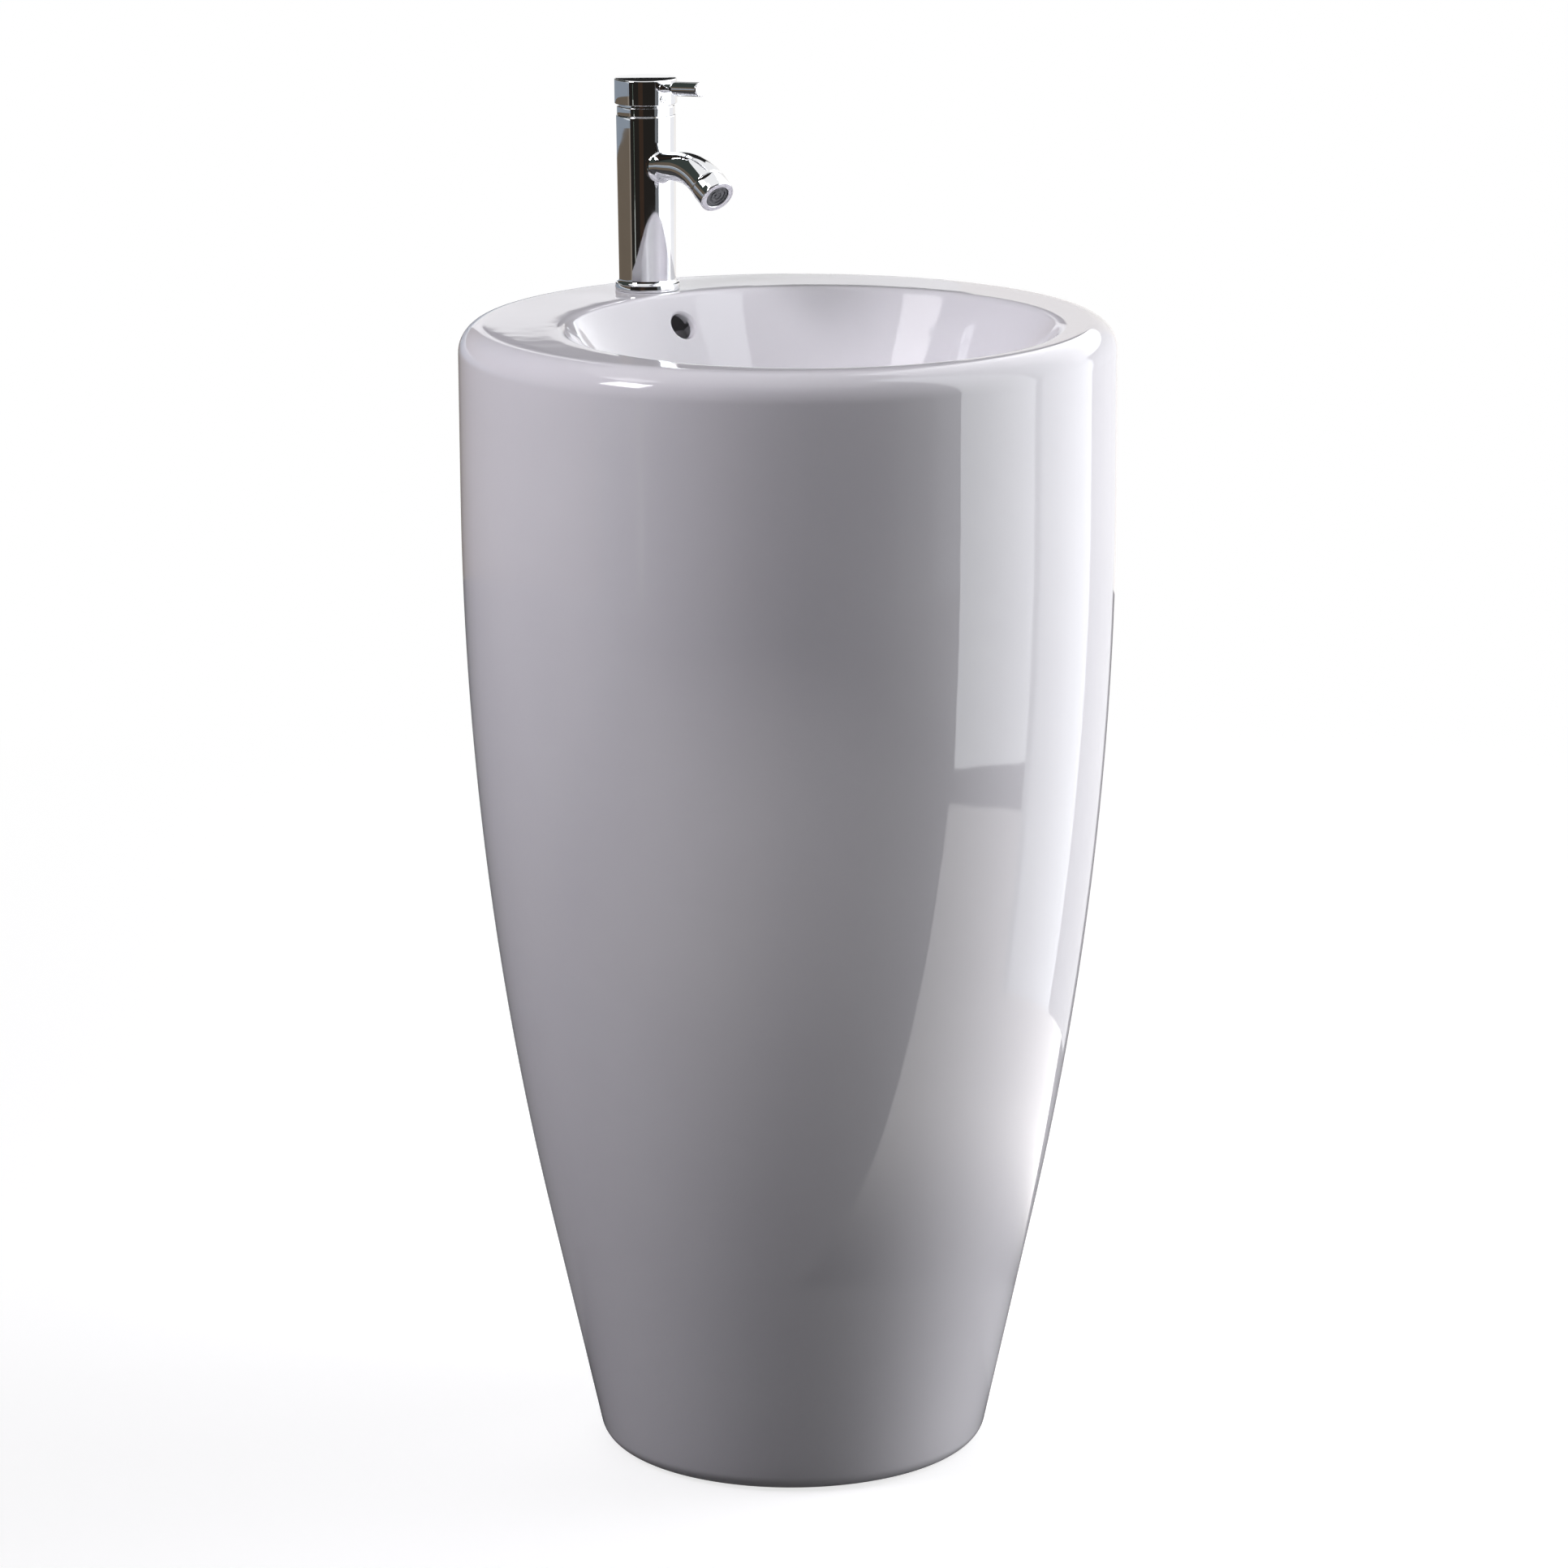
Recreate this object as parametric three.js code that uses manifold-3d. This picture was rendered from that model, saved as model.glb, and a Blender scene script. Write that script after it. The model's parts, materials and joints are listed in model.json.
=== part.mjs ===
// Round pedestal washbasin with a single-lever mixer, a click waste and a bottle trap.
// Millimetres. +Z is up, the floor is z = 0, the user stands at -Y and the tap is at +Y.

import * as THREE from 'three';
import { mergeVertices } from 'three/addons/utils/BufferGeometryUtils.js';
import Module from 'manifold-3d';

const wasm = await Module();
wasm.setup();

const { PI, acos, cos, hypot, sin, sqrt, tan } = Math;
const degrees = PI / 180;

// ---------------------------------------------------------------- fits

const seatGap = 0.2;        // between two faces that rest on each other
const slideGap = 0.25;      // radial gap of a piece that slips into another
const turnGap = 0.4;        // radial gap of a piece that turns inside another
const cutPast = 2;          // how far a cutting tool runs past the face it cuts
const joinSink = 1;         // how far a piece that is joined to another runs into it

// ---------------------------------------------------------------- flats in a full turn

const rimFacets = 44;
const bowlFacets = 36;
const cavityFacets = 24;
const pieceFacets = 20;
const drainFacets = 18;
const boreFacets = 12;

// ---------------------------------------------------------------- ceramic pedestal

const rimHeight = 850;
const rimRadius = 240;
const rimRound = 21;
const bellyHeight = 720;    // above this the wall is upright
const taperHeight = 180;    // below this the wall is a straight cone
const taperAngle = 12.33 * degrees;
const footRadius = 142.5;   // of the cone at floor level, before its edge is rounded
const footRound = 15.6;
const footLand = 25;        // width of the ring that stands on the floor
const footCollar = 22;      // height of the thickened foot
const collarSlope = 22;     // height over which the foot thins to the wall
const wallThickness = 12;
const deckThickness = 14;

const bowlRadius = 185;
const bowlForward = 30.4;   // the bowl's axis lies this far in front of the pedestal's
const bowlDepth = 128;
const bowlSlope = 35 * degrees;
const bowlFloorSlope = 4 * degrees;
const bowlFillet = 70;
const bowlWall = 11;
const lipRound = 8;

const drainHoleRadius = 23;
const drainSeatRadius = 33.5;
const drainSeatDepth = 3.2;
const drainBossRadius = 42;
const drainBossHeight = 36; // from the seat down to the face that the back nut pulls on

const overflowRadius = 10;
const overflowEdge = 3.5;
const overflowDepth = 25;
const ductWidth = 30;
const ductHeight = 11;
const ductWall = 7;

const serviceWidth = 170;
const serviceBottom = 330;
const serviceTop = 660;

// ---------------------------------------------------------------- mixer tap body

const tapBaseRadius = 24.4;
const tapLand = 4;          // flat ceramic between the bowl's edge and the tap's base
const tapBack = bowlRadius - bowlForward + tapLand + tapBaseRadius;
const tapHoleRadius = 17.5;
const tapBaseHeight = 8.5;
const tapBaseEdge = 2.6;    // height of the base's upright edge
const tapBaseDraft = 0.6;
const tapBreak = 0.5;       // small chamfer on the casting's corners
const tapFootRadius = 21.3;
const tapTopRadius = 22.3;
const tapHeight = 131.5;
const spigotLength = 8;
const spigotGap = 1;        // round the spigot, inside the ceramic's hole
const sealOuter = 22.5;
const sealInner = 18.4;
const sealHeight = 1.8;

const spoutStart = 93.7;    // height of the spout's line at the tap's axis
const spoutRise = 4 * degrees;
const spoutDrop = 33 * degrees;
const spoutStraight = 45.5;
const spoutBend = 60;
const spoutRootRadius = 9.8;
const spoutTipRadius = 13.3;
const spoutSink = 5;        // how far the spout's casting runs into the body
const spoutBlend = 7;       // length of the fillet between spout and body
const spoutBlendRise = 3.4; // how far that fillet stands out at the body
const spoutBlendSteps = 3;
const spoutSteps = 6;       // pieces of the outline from the bend's start to the tip
const waterwayRadius = 6.5;
const waterwaySteps = 5;

const hosePortRadius = 4.7;
const hoseBoreRadius = 3.5;
const hosePortSpacing = 16;
const hosePortBack = 6;
const outletBoreRadius = 4;
const outletForward = 3;

// ---------------------------------------------------------------- aerator

const aeratorRadius = 13.4;
const aeratorLength = 14;
const aeratorEdge = 1;
const aeratorBore = 9.3;
const aeratorLip = 0.2;     // how much the housing's mouth closes in
const aeratorThread = 7;
const aeratorThreadWall = 1.3;
const aeratorFlatDepth = 1.7;
const aeratorFlatLength = 7.5;
const aeratorFlatLift = 0.6; // the flats start this far above the joint with the spout
const aeratorFlatTurn = 127 * degrees;
const insertSink = 1.2;     // the insert's face lies this far inside the mouth
const insertGroove = 0.7;
const insertGrooveWidth = 2;
const insertGrooves = [1.4, 4.7]; // inner radius of each ring-shaped groove
const insertEdge = 0.4;
const insertLength = 11;    // from the mouth to the insert's back
const insertWasher = 2;
const insertWasherWidth = 2.4;

// ---------------------------------------------------------------- lever, cap and trim

const trimRadius = 21.65;
const trimHeight = 6.6;
const trimBreak = 0.4;
const trimLip = 1.4;        // width of the thin collar that stands up inside the cap
const capGap = 2;
const capRadius = 23.35;
const capHeight = 18.7;
const capWall = 1.5;
const capEdge = 1;
const capBreak = 0.4;
const pivotBelowCap = 20;   // the lever's tilt axis, below the cap's skirt
const bossLift = 1.6;       // the cap's inner boss stops this far above the skirt
const bossWall = 3.4;
const lugWidth = 9;
const lugForward = 8;

const leverReach = 73.5;
const leverRise = 4.6 * degrees;
const leverPinRadius = 2.6;
const leverNeckRadius = 3.4;
const leverNeckReach = 39;  // to the middle of the cone that widens the neck to the rod
const leverFlare = 5;       // length of that cone
const leverRodRadius = 5.3;
const leverEdge = 1;
const leverAxisInCap = 11;  // above the skirt, where the lever's line meets the tap's axis
const plugInCap = 4.9;      // above the skirt
const plugRadius = 2.9;
const plugDepth = 2.4;
const plugCrown = 0.6;
const plugRim = 0.8;
const screwRadius = 2.4;
const screwLength = 7.2;
const screwKey = 2.5;
const screwKeyDepth = 3;

// ---------------------------------------------------------------- mixing cartridge

const cartridgeRadius = 17.4;
const cartridgeLength = 25.6;
const cartridgeWall = 2.9;
const cartridgeSink = 3.6;  // the cartridge's top lies this far inside the tap
const cartridgePort = 2.6;
const threadDepth = 5.5;
const threadStep = 1.3;     // the nut's thread is this much wider than the cartridge's bore
const discThickness = 3;
const discPort = 2.4;
const fixedDiscRadius = 14;
const movingDiscRadius = 11;
const movingDiscFloor = 0.4; // ceramic left under the moving disc's socket
const turretRadius = 13.8;
const turretNeckRadius = 10.8;
const turretStandout = 2.8; // above the cartridge's top
const turretSlotWall = 2.2;
const stemSize = 8;
const stemPastLever = 1.2;  // above the point where the lever's line meets the tap's axis
const stemHubWall = 0.6;
const stemArmRadius = 1.3;
const ballRadius = 1.9;
const ballSink = 0.4;
const pinRadius = 1.5;
const pinGap = 0.15;
const pinSink = 0.8;        // the pin's ends lie this far inside the turret's neck
const cartridgeNutInner = 12.6;
const cartridgeNutHeight = 7.2;

// ---------------------------------------------------------------- tap fixing

const studRadius = 3;
const studForward = 12.5;
const studHole = 4;         // depth of the stud's hole above the ceramic
const studEndGap = 1;
const studLength = 74;
const clampRadius = 22;
const clampThickness = 2.4;
const clampFront = 4;       // plate left in front of the hose slot
const clampCorner = 5;
const hoseClearance = 0.7;
const nutAcrossFlats = 10;
const nutHeight = 8;

// ---------------------------------------------------------------- click waste

const wasteFlangeRadius = 31.5;
const wasteFlangeThickness = 3;
const wasteFlangeEdge = 1;
const wasteFlangeSlope = 1.5;
const wasteMouth = 4;       // width of the funnel at the top of the bore
const wasteMouthDepth = 2;
const wasteThreadRadius = 20.9;
const wasteBore = 17.8;
const wasteLength = 66;
const wasteSlotWidth = 10;
const gasketThickness = 2;
const gasketInset = 2;
const bridgeDepth = 16;     // the spider's middle, below the flange's top
const bridgeThickness = 5;
const bridgeArm = 3;
const bridgeHubWall = 2.5;
const clickRadius = 7;
const clickLength = 24;
const clickStep = 1.5;
const clickHead = 3;
const plugCapRadius = 29;
const plugCapThickness = 4;
const plugCapEdge = 1;
const plugCapDome = 500;    // radius of its slightly crowned top
const plugTravel = 8;
const spindleRadius = 3;
const spindleGuide = 8.7;   // spindle left in the click sleeve when the cap is up
const plugSealThickness = 1.6;
const plugSealReach = 2.2;
const plugHolderInset = 3;
const plugHolderStep = 1;
const plugHolderLip = 1.5;
const backWasherReach = 9;
const backWasherHeight = 5;
const backWasherTop = 5;    // width of the rubber's upper face
const backWasherUpright = 2;
const slideWasherThickness = 1.5;
const backNutAcrossFlats = 52;
const backNutHeight = 9;

// ---------------------------------------------------------------- bottle trap

const pipeRadius = 16;
const pipeWall = 1.5;
const pipeWasher = 1.5;
const tailFlange = 4;       // width of the flange at the top of the tailpiece
const tailFlangeThickness = 2;
const tailAboveCup = 24;    // the tailpiece's end, above the cup's underside
const trapBelowWaste = 63.2;
const trapRadius = 31;
const trapWall = 3;
const trapShoulder = 6;
const trapNeckHeight = 16;
const trapRoof = 3;
const trapOutletBelow = 37;
const trapOutletLength = 18;
const trapBodyHeight = 71;
const trapThreadHeight = 12;
const trapCupHeight = 70;
const trapCupRound = 12;
const cupSealHeight = 3;
const cupSealWidth = 4;
const trapNutRadius = 25;
const trapNutHeight = 20;
const trapNutWall = 3;
const trapNutLip = 5;
const gripCount = 8;
const gripWidth = 3;
const gripDepth = 0.8;
const gripEnd = 2;          // plain stretch at the open end of a nut
const outletBack = 226;     // the outlet pipe ends this far behind the pedestal's axis

// ---------------------------------------------------------------- shared shape helpers

function solidOf(geometry) {
  const bare = (geometry.index ? geometry.toNonIndexed() : geometry).clone();
  bare.deleteAttribute('normal');
  bare.deleteAttribute('uv');
  const merged = mergeVertices(bare, 1e-4);
  const index = merged.index.array;
  const corners = [];
  for (let i = 0; i < index.length; i += 3) {
    const [a, b, c] = [index[i], index[i + 1], index[i + 2]];
    if (a !== b && b !== c && c !== a) corners.push(a, b, c);
  }
  const triVerts = new Uint32Array(corners);
  const vertProperties = new Float32Array(merged.attributes.position.array);
  const solid = new wasm.Manifold(new wasm.Mesh({ numProp: 3, vertProperties, triVerts }));
  if (solid.volume() > 0) return solid;
  for (let i = 0; i < triVerts.length; i += 3) {
    [triVerts[i], triVerts[i + 1]] = [triVerts[i + 1], triVerts[i]];
  }
  return new wasm.Manifold(new wasm.Mesh({ numProp: 3, vertProperties, triVerts }));
}

function geometryOf(solid) {
  const mesh = solid.getMesh();
  const geometry = new THREE.BufferGeometry();
  const positions = new Float32Array(mesh.vertProperties);
  geometry.setAttribute('position', new THREE.BufferAttribute(positions, 3));
  geometry.setIndex(new THREE.BufferAttribute(new Uint32Array(mesh.triVerts), 1));
  const flat = geometry.toNonIndexed();
  flat.computeVertexNormals();
  return flat;
}

function joined(...solids) {
  return solids.reduce((whole, piece) => whole.add(piece));
}

function cut(solid, ...tools) {
  return tools.reduce((rest, tool) => rest.subtract(tool), solid);
}

// An outline of [radius, height] corners, closed on itself, turned about Z.
function revolve(outline, segments) {
  const points = outline.map(([r, z]) => new THREE.Vector2(Math.max(r, 0), z));
  const geometry = new THREE.LatheGeometry([...points, points[0].clone()], segments);
  return geometry.rotateX(PI / 2);
}

function turned(outline, segments = pieceFacets) {
  return solidOf(revolve(outline, segments));
}

function ring(outer, inner, bottom, top, segments = pieceFacets) {
  return turned([[inner, bottom], [outer, bottom], [outer, top], [inner, top]], segments);
}

function rod(radius, bottom, top, segments = pieceFacets) {
  return turned([[0, bottom], [radius, bottom], [radius, top], [0, top]], segments);
}

// A rod that cuts right through whatever lies between two heights.
function drill(radius, bottom, top, segments = pieceFacets) {
  return rod(radius, bottom - cutPast, top + cutPast, segments);
}

function arc(centre, radius, from, to, steps) {
  return Array.from({ length: steps + 1 }, (_, i) => {
    const angle = from + (to - from) * i / steps;
    return [centre[0] + radius * cos(angle), centre[1] + radius * sin(angle)];
  });
}

function shapeOf(corners) {
  return new THREE.Shape(corners.map(([x, y]) => new THREE.Vector2(x, y)));
}

function extruded(shape, bottom, top) {
  const settings = { depth: top - bottom, bevelEnabled: false };
  return solidOf(new THREE.ExtrudeGeometry(shape, settings).translate(0, 0, bottom));
}

function box(width, length, height, x, y, z) {
  return solidOf(new THREE.BoxGeometry(width, length, height).translate(x, y, z));
}

function hexagon(acrossFlats) {
  return arc([0, 0], acrossFlats / sqrt(3), 0, 2 * PI, 6).slice(0, 6);
}

function placed(solid, matrix) {
  return solid.transform(matrix.toArray());
}

function shifted(solid, x, y, z) {
  return solid.translate([x, y, z]);
}

// Turns a solid built along +Z so that it points along the given direction in the YZ plane.
function aimed(solid, forward, up, y, z) {
  const along = new THREE.Vector3(0, -forward, up).normalize();
  const side = new THREE.Vector3(1, 0, 0);
  const third = new THREE.Vector3().crossVectors(along, side);
  const matrix = new THREE.Matrix4().makeBasis(side, third, along).setPosition(0, y, z);
  return placed(solid, matrix);
}

// Turns a shape drawn in (y, z) and extruded along its third axis so that it runs along X.
const acrossX = new THREE.Matrix4().makeBasis(
  new THREE.Vector3(0, 1, 0),
  new THREE.Vector3(0, 0, 1),
  new THREE.Vector3(1, 0, 0),
);

// ---------------------------------------------------------------- materials

function material(color, roughness, metalness) {
  return new THREE.MeshStandardMaterial({ color, roughness, metalness });
}

const finishes = {
  ceramic: () => material(0xf4f4f2, 0.12, 0),
  chrome: () => material(0xd8dadd, 0.06, 1),
  brass: () => material(0xc9a35a, 0.3, 1),
  steel: () => material(0xb4b7ba, 0.35, 1),
  rubber: () => material(0x202022, 0.85, 0),
  whitePlastic: () => material(0xe9e9e6, 0.4, 0),
  greyPlastic: () => material(0x6f7478, 0.5, 0),
  disc: () => material(0xe6e0d6, 0.25, 0),
};

const product = new THREE.Group();
const tap = new THREE.Group();
const drain = new THREE.Group();
product.add(tap, drain);
tap.position.set(0, tapBack, rimHeight);
drain.position.set(0, -bowlForward, 0);

function addPiece(parent, name, solid, finish) {
  const mesh = new THREE.Mesh(geometryOf(solid), finishes[finish]());
  mesh.name = name;
  parent.add(mesh);
}

// ---------------------------------------------------------------- basin

// The pedestal's side from the given height up to the belly, moved inwards by an inset.
function sideOutline(inset, firstHeight, steps) {
  const slope = tan(taperAngle);
  const radiusAt = (z) => footRadius + z * slope - inset / cos(taperAngle);
  const meet = (rimRadius - footRadius) / slope;
  const curve = new THREE.QuadraticBezierCurve(
    new THREE.Vector2(radiusAt(taperHeight), taperHeight),
    new THREE.Vector2(rimRadius - inset, meet),
    new THREE.Vector2(rimRadius - inset, bellyHeight),
  );
  const bend = curve.getPoints(steps).map((point) => [point.x, point.y]);
  return [[radiusAt(firstHeight), firstHeight], ...bend];
}

function pedestalBlock() {
  const inward = footRadius + footRound * tan(taperAngle) - footRound / cos(taperAngle);
  const foot = arc([inward, footRound], footRound, -PI / 2, -taperAngle, 2);
  const shoulder = arc([rimRadius - rimRound, rimHeight - rimRound], rimRound, 0, PI / 2, 4);
  const side = sideOutline(0, taperHeight, 6).slice(1);
  return turned([[0, 0], ...foot, ...side, ...shoulder, [0, rimHeight]], rimFacets);
}

function pedestalCavity() {
  const floorRadius = footRadius - footRound - footLand;
  const side = sideOutline(wallThickness, footCollar + collarSlope, 4);
  const top = rimHeight - deckThickness;
  const foot = [[0, -cutPast], [floorRadius, -cutPast], [floorRadius, footCollar]];
  return turned([...foot, ...side, [rimRadius - wallThickness, top], [0, top]], cavityFacets);
}

const bowlFloor = rimHeight - bowlDepth;
const lipEnd = [
  bowlRadius - lipRound * cos(bowlSlope),
  rimHeight - lipRound + lipRound * sin(bowlSlope),
];
const filletCentre = bowlFilletCentre();

// The centre of the arc that touches both the bowl's sloping wall and its floor.
function bowlFilletCentre() {
  const aboveFloor = bowlFloor + bowlFillet / cos(bowlFloorSlope);
  const across = lipEnd[0] * cos(bowlSlope) - bowlFillet;
  const down = (aboveFloor - lipEnd[1]) * sin(bowlSlope);
  const r = (across + down) / (cos(bowlSlope) - tan(bowlFloorSlope) * sin(bowlSlope));
  return [r, aboveFloor + r * tan(bowlFloorSlope)];
}

function bowlWallPoint(depth, outward) {
  const along = (depth - (rimHeight - lipEnd[1])) / cos(bowlSlope);
  return [
    lipEnd[0] - along * sin(bowlSlope) + outward * cos(bowlSlope),
    lipEnd[1] - along * cos(bowlSlope) - outward * sin(bowlSlope),
  ];
}

// The bowl's section from its wall to its floor, moved outwards through the ceramic.
function bowlOutline(outward, depth, steps) {
  const radius = bowlFillet + outward;
  const bend = arc(filletCentre, radius, -bowlSlope, bowlFloorSlope - PI / 2, steps);
  return [bowlWallPoint(depth, outward), ...bend, [0, bowlFloor - outward / cos(bowlFloorSlope)]];
}

function bowlHollow() {
  const lip = arc([bowlRadius, rimHeight - lipRound], lipRound, PI / 2, PI - bowlSlope, 3);
  const section = bowlOutline(0, rimHeight - lipEnd[1], 6).slice(1);
  const mouth = [[0, rimHeight + cutPast], [bowlRadius, rimHeight + cutPast]];
  return turned([...mouth, ...lip, ...section], bowlFacets);
}

function bowlShell() {
  const section = bowlOutline(bowlWall, deckThickness / 2, 3);
  return turned([[0, section[0][1]], ...section], cavityFacets);
}

const drainSeat = bowlFloor - drainSeatDepth;
const drainBossBottom = drainSeat - drainBossHeight;

function drainCut() {
  const flare = bowlFloor + drainSeatRadius * tan(bowlFloorSlope) + cutPast;
  return turned([
    [0, drainBossBottom - cutPast],
    [drainHoleRadius, drainBossBottom - cutPast],
    [drainHoleRadius, drainSeat],
    [drainSeatRadius, drainSeat],
    [drainSeatRadius + cutPast, flare],
    [0, flare],
  ]);
}

// A strip of the bowl's section, from one depth inside its wall to another, along the rear.
function rearStrip(inner, outer, topDepth, width) {
  const inside = bowlOutline(inner, topDepth, 4);
  const outside = bowlOutline(outer, topDepth, 4).reverse();
  const slab = extruded(shapeOf([...inside, ...outside]), -width / 2, width / 2);
  return placed(slab, acrossX);
}

function overflowHole() {
  const mouth = bowlWallPoint(overflowDepth, 0);
  const length = bowlWall + ductHeight / 2;
  const edge = overflowRadius + overflowEdge;
  const tool = turned([
    [0, -length],
    [overflowRadius, -length],
    ...arc([edge, -overflowEdge], overflowEdge, PI, PI / 2, 3),
    [edge, cutPast],
    [0, cutPast],
  ]);
  return aimed(tool, cos(bowlSlope), sin(bowlSlope), mouth[0], mouth[1]);
}

function serviceOpening() {
  const r = serviceWidth / 2;
  const upper = arc([0, serviceTop - r], r, 0, PI, 7);
  const lower = arc([0, serviceBottom + r], r, PI, 2 * PI, 7);
  const block = extruded(shapeOf([...upper, ...lower]), -rimRadius - cutPast, -footRadius / 2);
  return placed(block, new THREE.Matrix4().makeRotationX(PI / 2));
}

function makeBasin() {
  const ductTop = overflowDepth - overflowRadius * cos(bowlSlope);
  const duct = bowlWall + ductHeight;
  const ductOutside = ductWidth + 2 * ductWall;
  const bowlSide = joined(
    bowlShell(),
    rod(drainBossRadius, drainBossBottom, bowlFloor),
    rearStrip(bowlWall / 2, duct + ductWall, ductTop, ductOutside),
  );
  const bowlCuts = joined(
    bowlHollow(),
    drainCut(),
    rearStrip(bowlWall, duct, ductTop, ductWidth),
    overflowHole(),
  );
  const hollow = cut(pedestalCavity(), shifted(bowlSide, 0, -bowlForward, 0));
  const tapHole = drill(tapHoleRadius, rimHeight - deckThickness, rimHeight);
  const block = cut(pedestalBlock(), hollow, shifted(tapHole, 0, tapBack, 0));
  return cut(block, shifted(bowlCuts, 0, -bowlForward, 0), serviceOpening());
}

addPiece(product, 'basin', makeBasin(), 'ceramic');

// ---------------------------------------------------------------- tap body and spout

// The spout's centre line: a slight rise, an arc that turns it down, and a straight tail that is
// as long as the aerator's housing.
const spoutRun = spoutStraight / cos(spoutRise);
const spoutArc = spoutBend * (spoutRise + spoutDrop);
const spoutLength = spoutRun + spoutArc + aeratorLength;

// The point at a distance along that line, as [forward, up, slope].
function spoutPoint(distance) {
  if (distance <= spoutRun) {
    return [distance * cos(spoutRise), spoutStart + distance * sin(spoutRise), spoutRise];
  }
  const swept = Math.min((distance - spoutRun) / spoutBend, spoutRise + spoutDrop);
  const angle = spoutRise - swept;
  const rest = distance - spoutRun - swept * spoutBend;
  const bendStart = spoutStart + spoutRun * sin(spoutRise);
  return [
    spoutStraight + spoutBend * (sin(spoutRise) - sin(angle)) + rest * cos(angle),
    bendStart + spoutBend * (cos(angle) - cos(spoutRise)) + rest * sin(angle),
    angle,
  ];
}

// How far a point beside the line moves back, so that the spout's root follows the round body.
// The shift fades out along the straight part.
function rootShift(side, distance) {
  const fade = Math.min((spoutRun - distance) / (spoutRun - tapFootRadius), 1);
  const depth = tapFootRadius - sqrt(tapFootRadius * tapFootRadius - side * side);
  return Math.max(fade, 0) * depth;
}

// Bends a piece turned about Z so that its axis follows the spout's centre line.
function bentAlongSpout(outline, segments) {
  const geometry = revolve(outline, segments);
  const position = geometry.attributes.position;
  for (let i = 0; i < position.count; i += 1) {
    const side = position.getX(i);
    const distance = position.getZ(i);
    const [reach, height, angle] = spoutPoint(distance - rootShift(side, distance));
    const up = position.getY(i);
    const forward = reach - up * sin(angle);
    position.setXYZ(i, side, -forward, height + up * cos(angle));
  }
  return solidOf(geometry);
}

function evenly(from, to, steps) {
  return Array.from({ length: steps + 1 }, (_, i) => from + (to - from) * i / steps);
}

function spoutOutline(distances, radiusAt) {
  const side = distances.map((distance) => [radiusAt(distance), distance]);
  return [[0, distances[0]], ...side, [0, distances.at(-1)]];
}

const spoutEnd = spoutLength - aeratorLength - seatGap;

// The spout widens evenly to its tip, and a fillet spreads its root over the body.
function spoutRadiusAt(distance) {
  const share = Math.max(distance - tapFootRadius, 0) / (spoutEnd - tapFootRadius);
  const plain = spoutRootRadius + (spoutTipRadius - spoutRootRadius) * share;
  const past = tapFootRadius + spoutBlend - distance;
  if (past <= 0) return plain;
  const drop = Math.min(past / spoutBlend, 1);
  return plain + spoutBlendRise * (1 - sqrt(1 - drop * drop));
}

// Where the spout's outline has its points: inside the body, round the fillet, along the bend.
function spoutDistances() {
  const fillet = evenly(0, PI / 2, spoutBlendSteps).map((turn) => spoutBlend * (1 - cos(turn)));
  return [
    tapFootRadius - spoutSink,
    ...fillet.map((distance) => tapFootRadius + distance),
    ...evenly(spoutRun, spoutEnd, spoutSteps),
  ];
}

const cartridgeSeat = tapHeight - cartridgeLength - cartridgeSink;
const cartridgeTop = cartridgeSeat + seatGap + cartridgeLength;
const threadRadius = cartridgeRadius + slideGap + threadStep;

function tapOutline() {
  const flareRadius = tapBaseRadius - tapFootRadius;
  const flare = arc([tapBaseRadius, tapBaseHeight], flareRadius, PI * 1.5, PI, 4);
  return [
    [0, seatGap],
    [tapBaseRadius - tapBreak, seatGap],
    [tapBaseRadius, seatGap + tapBreak],
    [tapBaseRadius, tapBaseEdge],
    [tapBaseRadius - tapBaseDraft, tapBaseHeight - flareRadius],
    ...flare.slice(1),
    [tapTopRadius, tapHeight - tapBreak],
    [tapTopRadius - tapBreak, tapHeight],
    [0, tapHeight],
  ];
}

// One bore for each hose, narrower above its thread, and one that leads out to the spout.
function besideAxis(solid) {
  return [-1, 1].map((side) => shifted(solid, side * hosePortSpacing / 2, hosePortBack, 0));
}

function makeTapBody() {
  const spout = bentAlongSpout(spoutOutline(spoutDistances(), spoutRadiusAt), pieceFacets);
  const spigot = rod(tapHoleRadius - spigotGap, -spigotLength, seatGap + joinSink);
  const waterLine = evenly(0, spoutLength, waterwaySteps);
  const waterway = bentAlongSpout(spoutOutline(waterLine, () => waterwayRadius), boreFacets);
  const threadEnd = -aeratorLength - aeratorThread - joinSink;
  const hosePort = joined(
    rod(hosePortRadius, -spigotLength - cutPast, tapBaseHeight, boreFacets),
    rod(hoseBoreRadius, 0, cartridgeSeat + cutPast, boreFacets),
  );
  const outlet = rod(outletBoreRadius, spoutStart, cartridgeSeat + cutPast, boreFacets);
  const stud = rod(studRadius + slideGap, -spigotLength - cutPast, studHole, boreFacets);
  return cut(
    joined(turned(tapOutline()), spigot, spout),
    rod(cartridgeRadius + slideGap, cartridgeSeat, tapHeight + cutPast),
    rod(threadRadius, tapHeight - threadDepth, tapHeight + cutPast),
    ring(sealOuter + slideGap, sealInner - slideGap, 0, seatGap + sealHeight),
    shifted(outlet, 0, -outletForward, 0),
    shifted(stud, 0, -studForward, 0),
    waterway,
    atTip(rod(aeratorBore + slideGap, threadEnd, -aeratorLength / 2)),
    ...besideAxis(hosePort),
  );
}

addPiece(tap, 'tap_body', makeTapBody(), 'chrome');
addPiece(tap, 'base_seal', ring(sealOuter, sealInner, seatGap, sealHeight), 'rubber');

// ---------------------------------------------------------------- tap fixing under the deck

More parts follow.
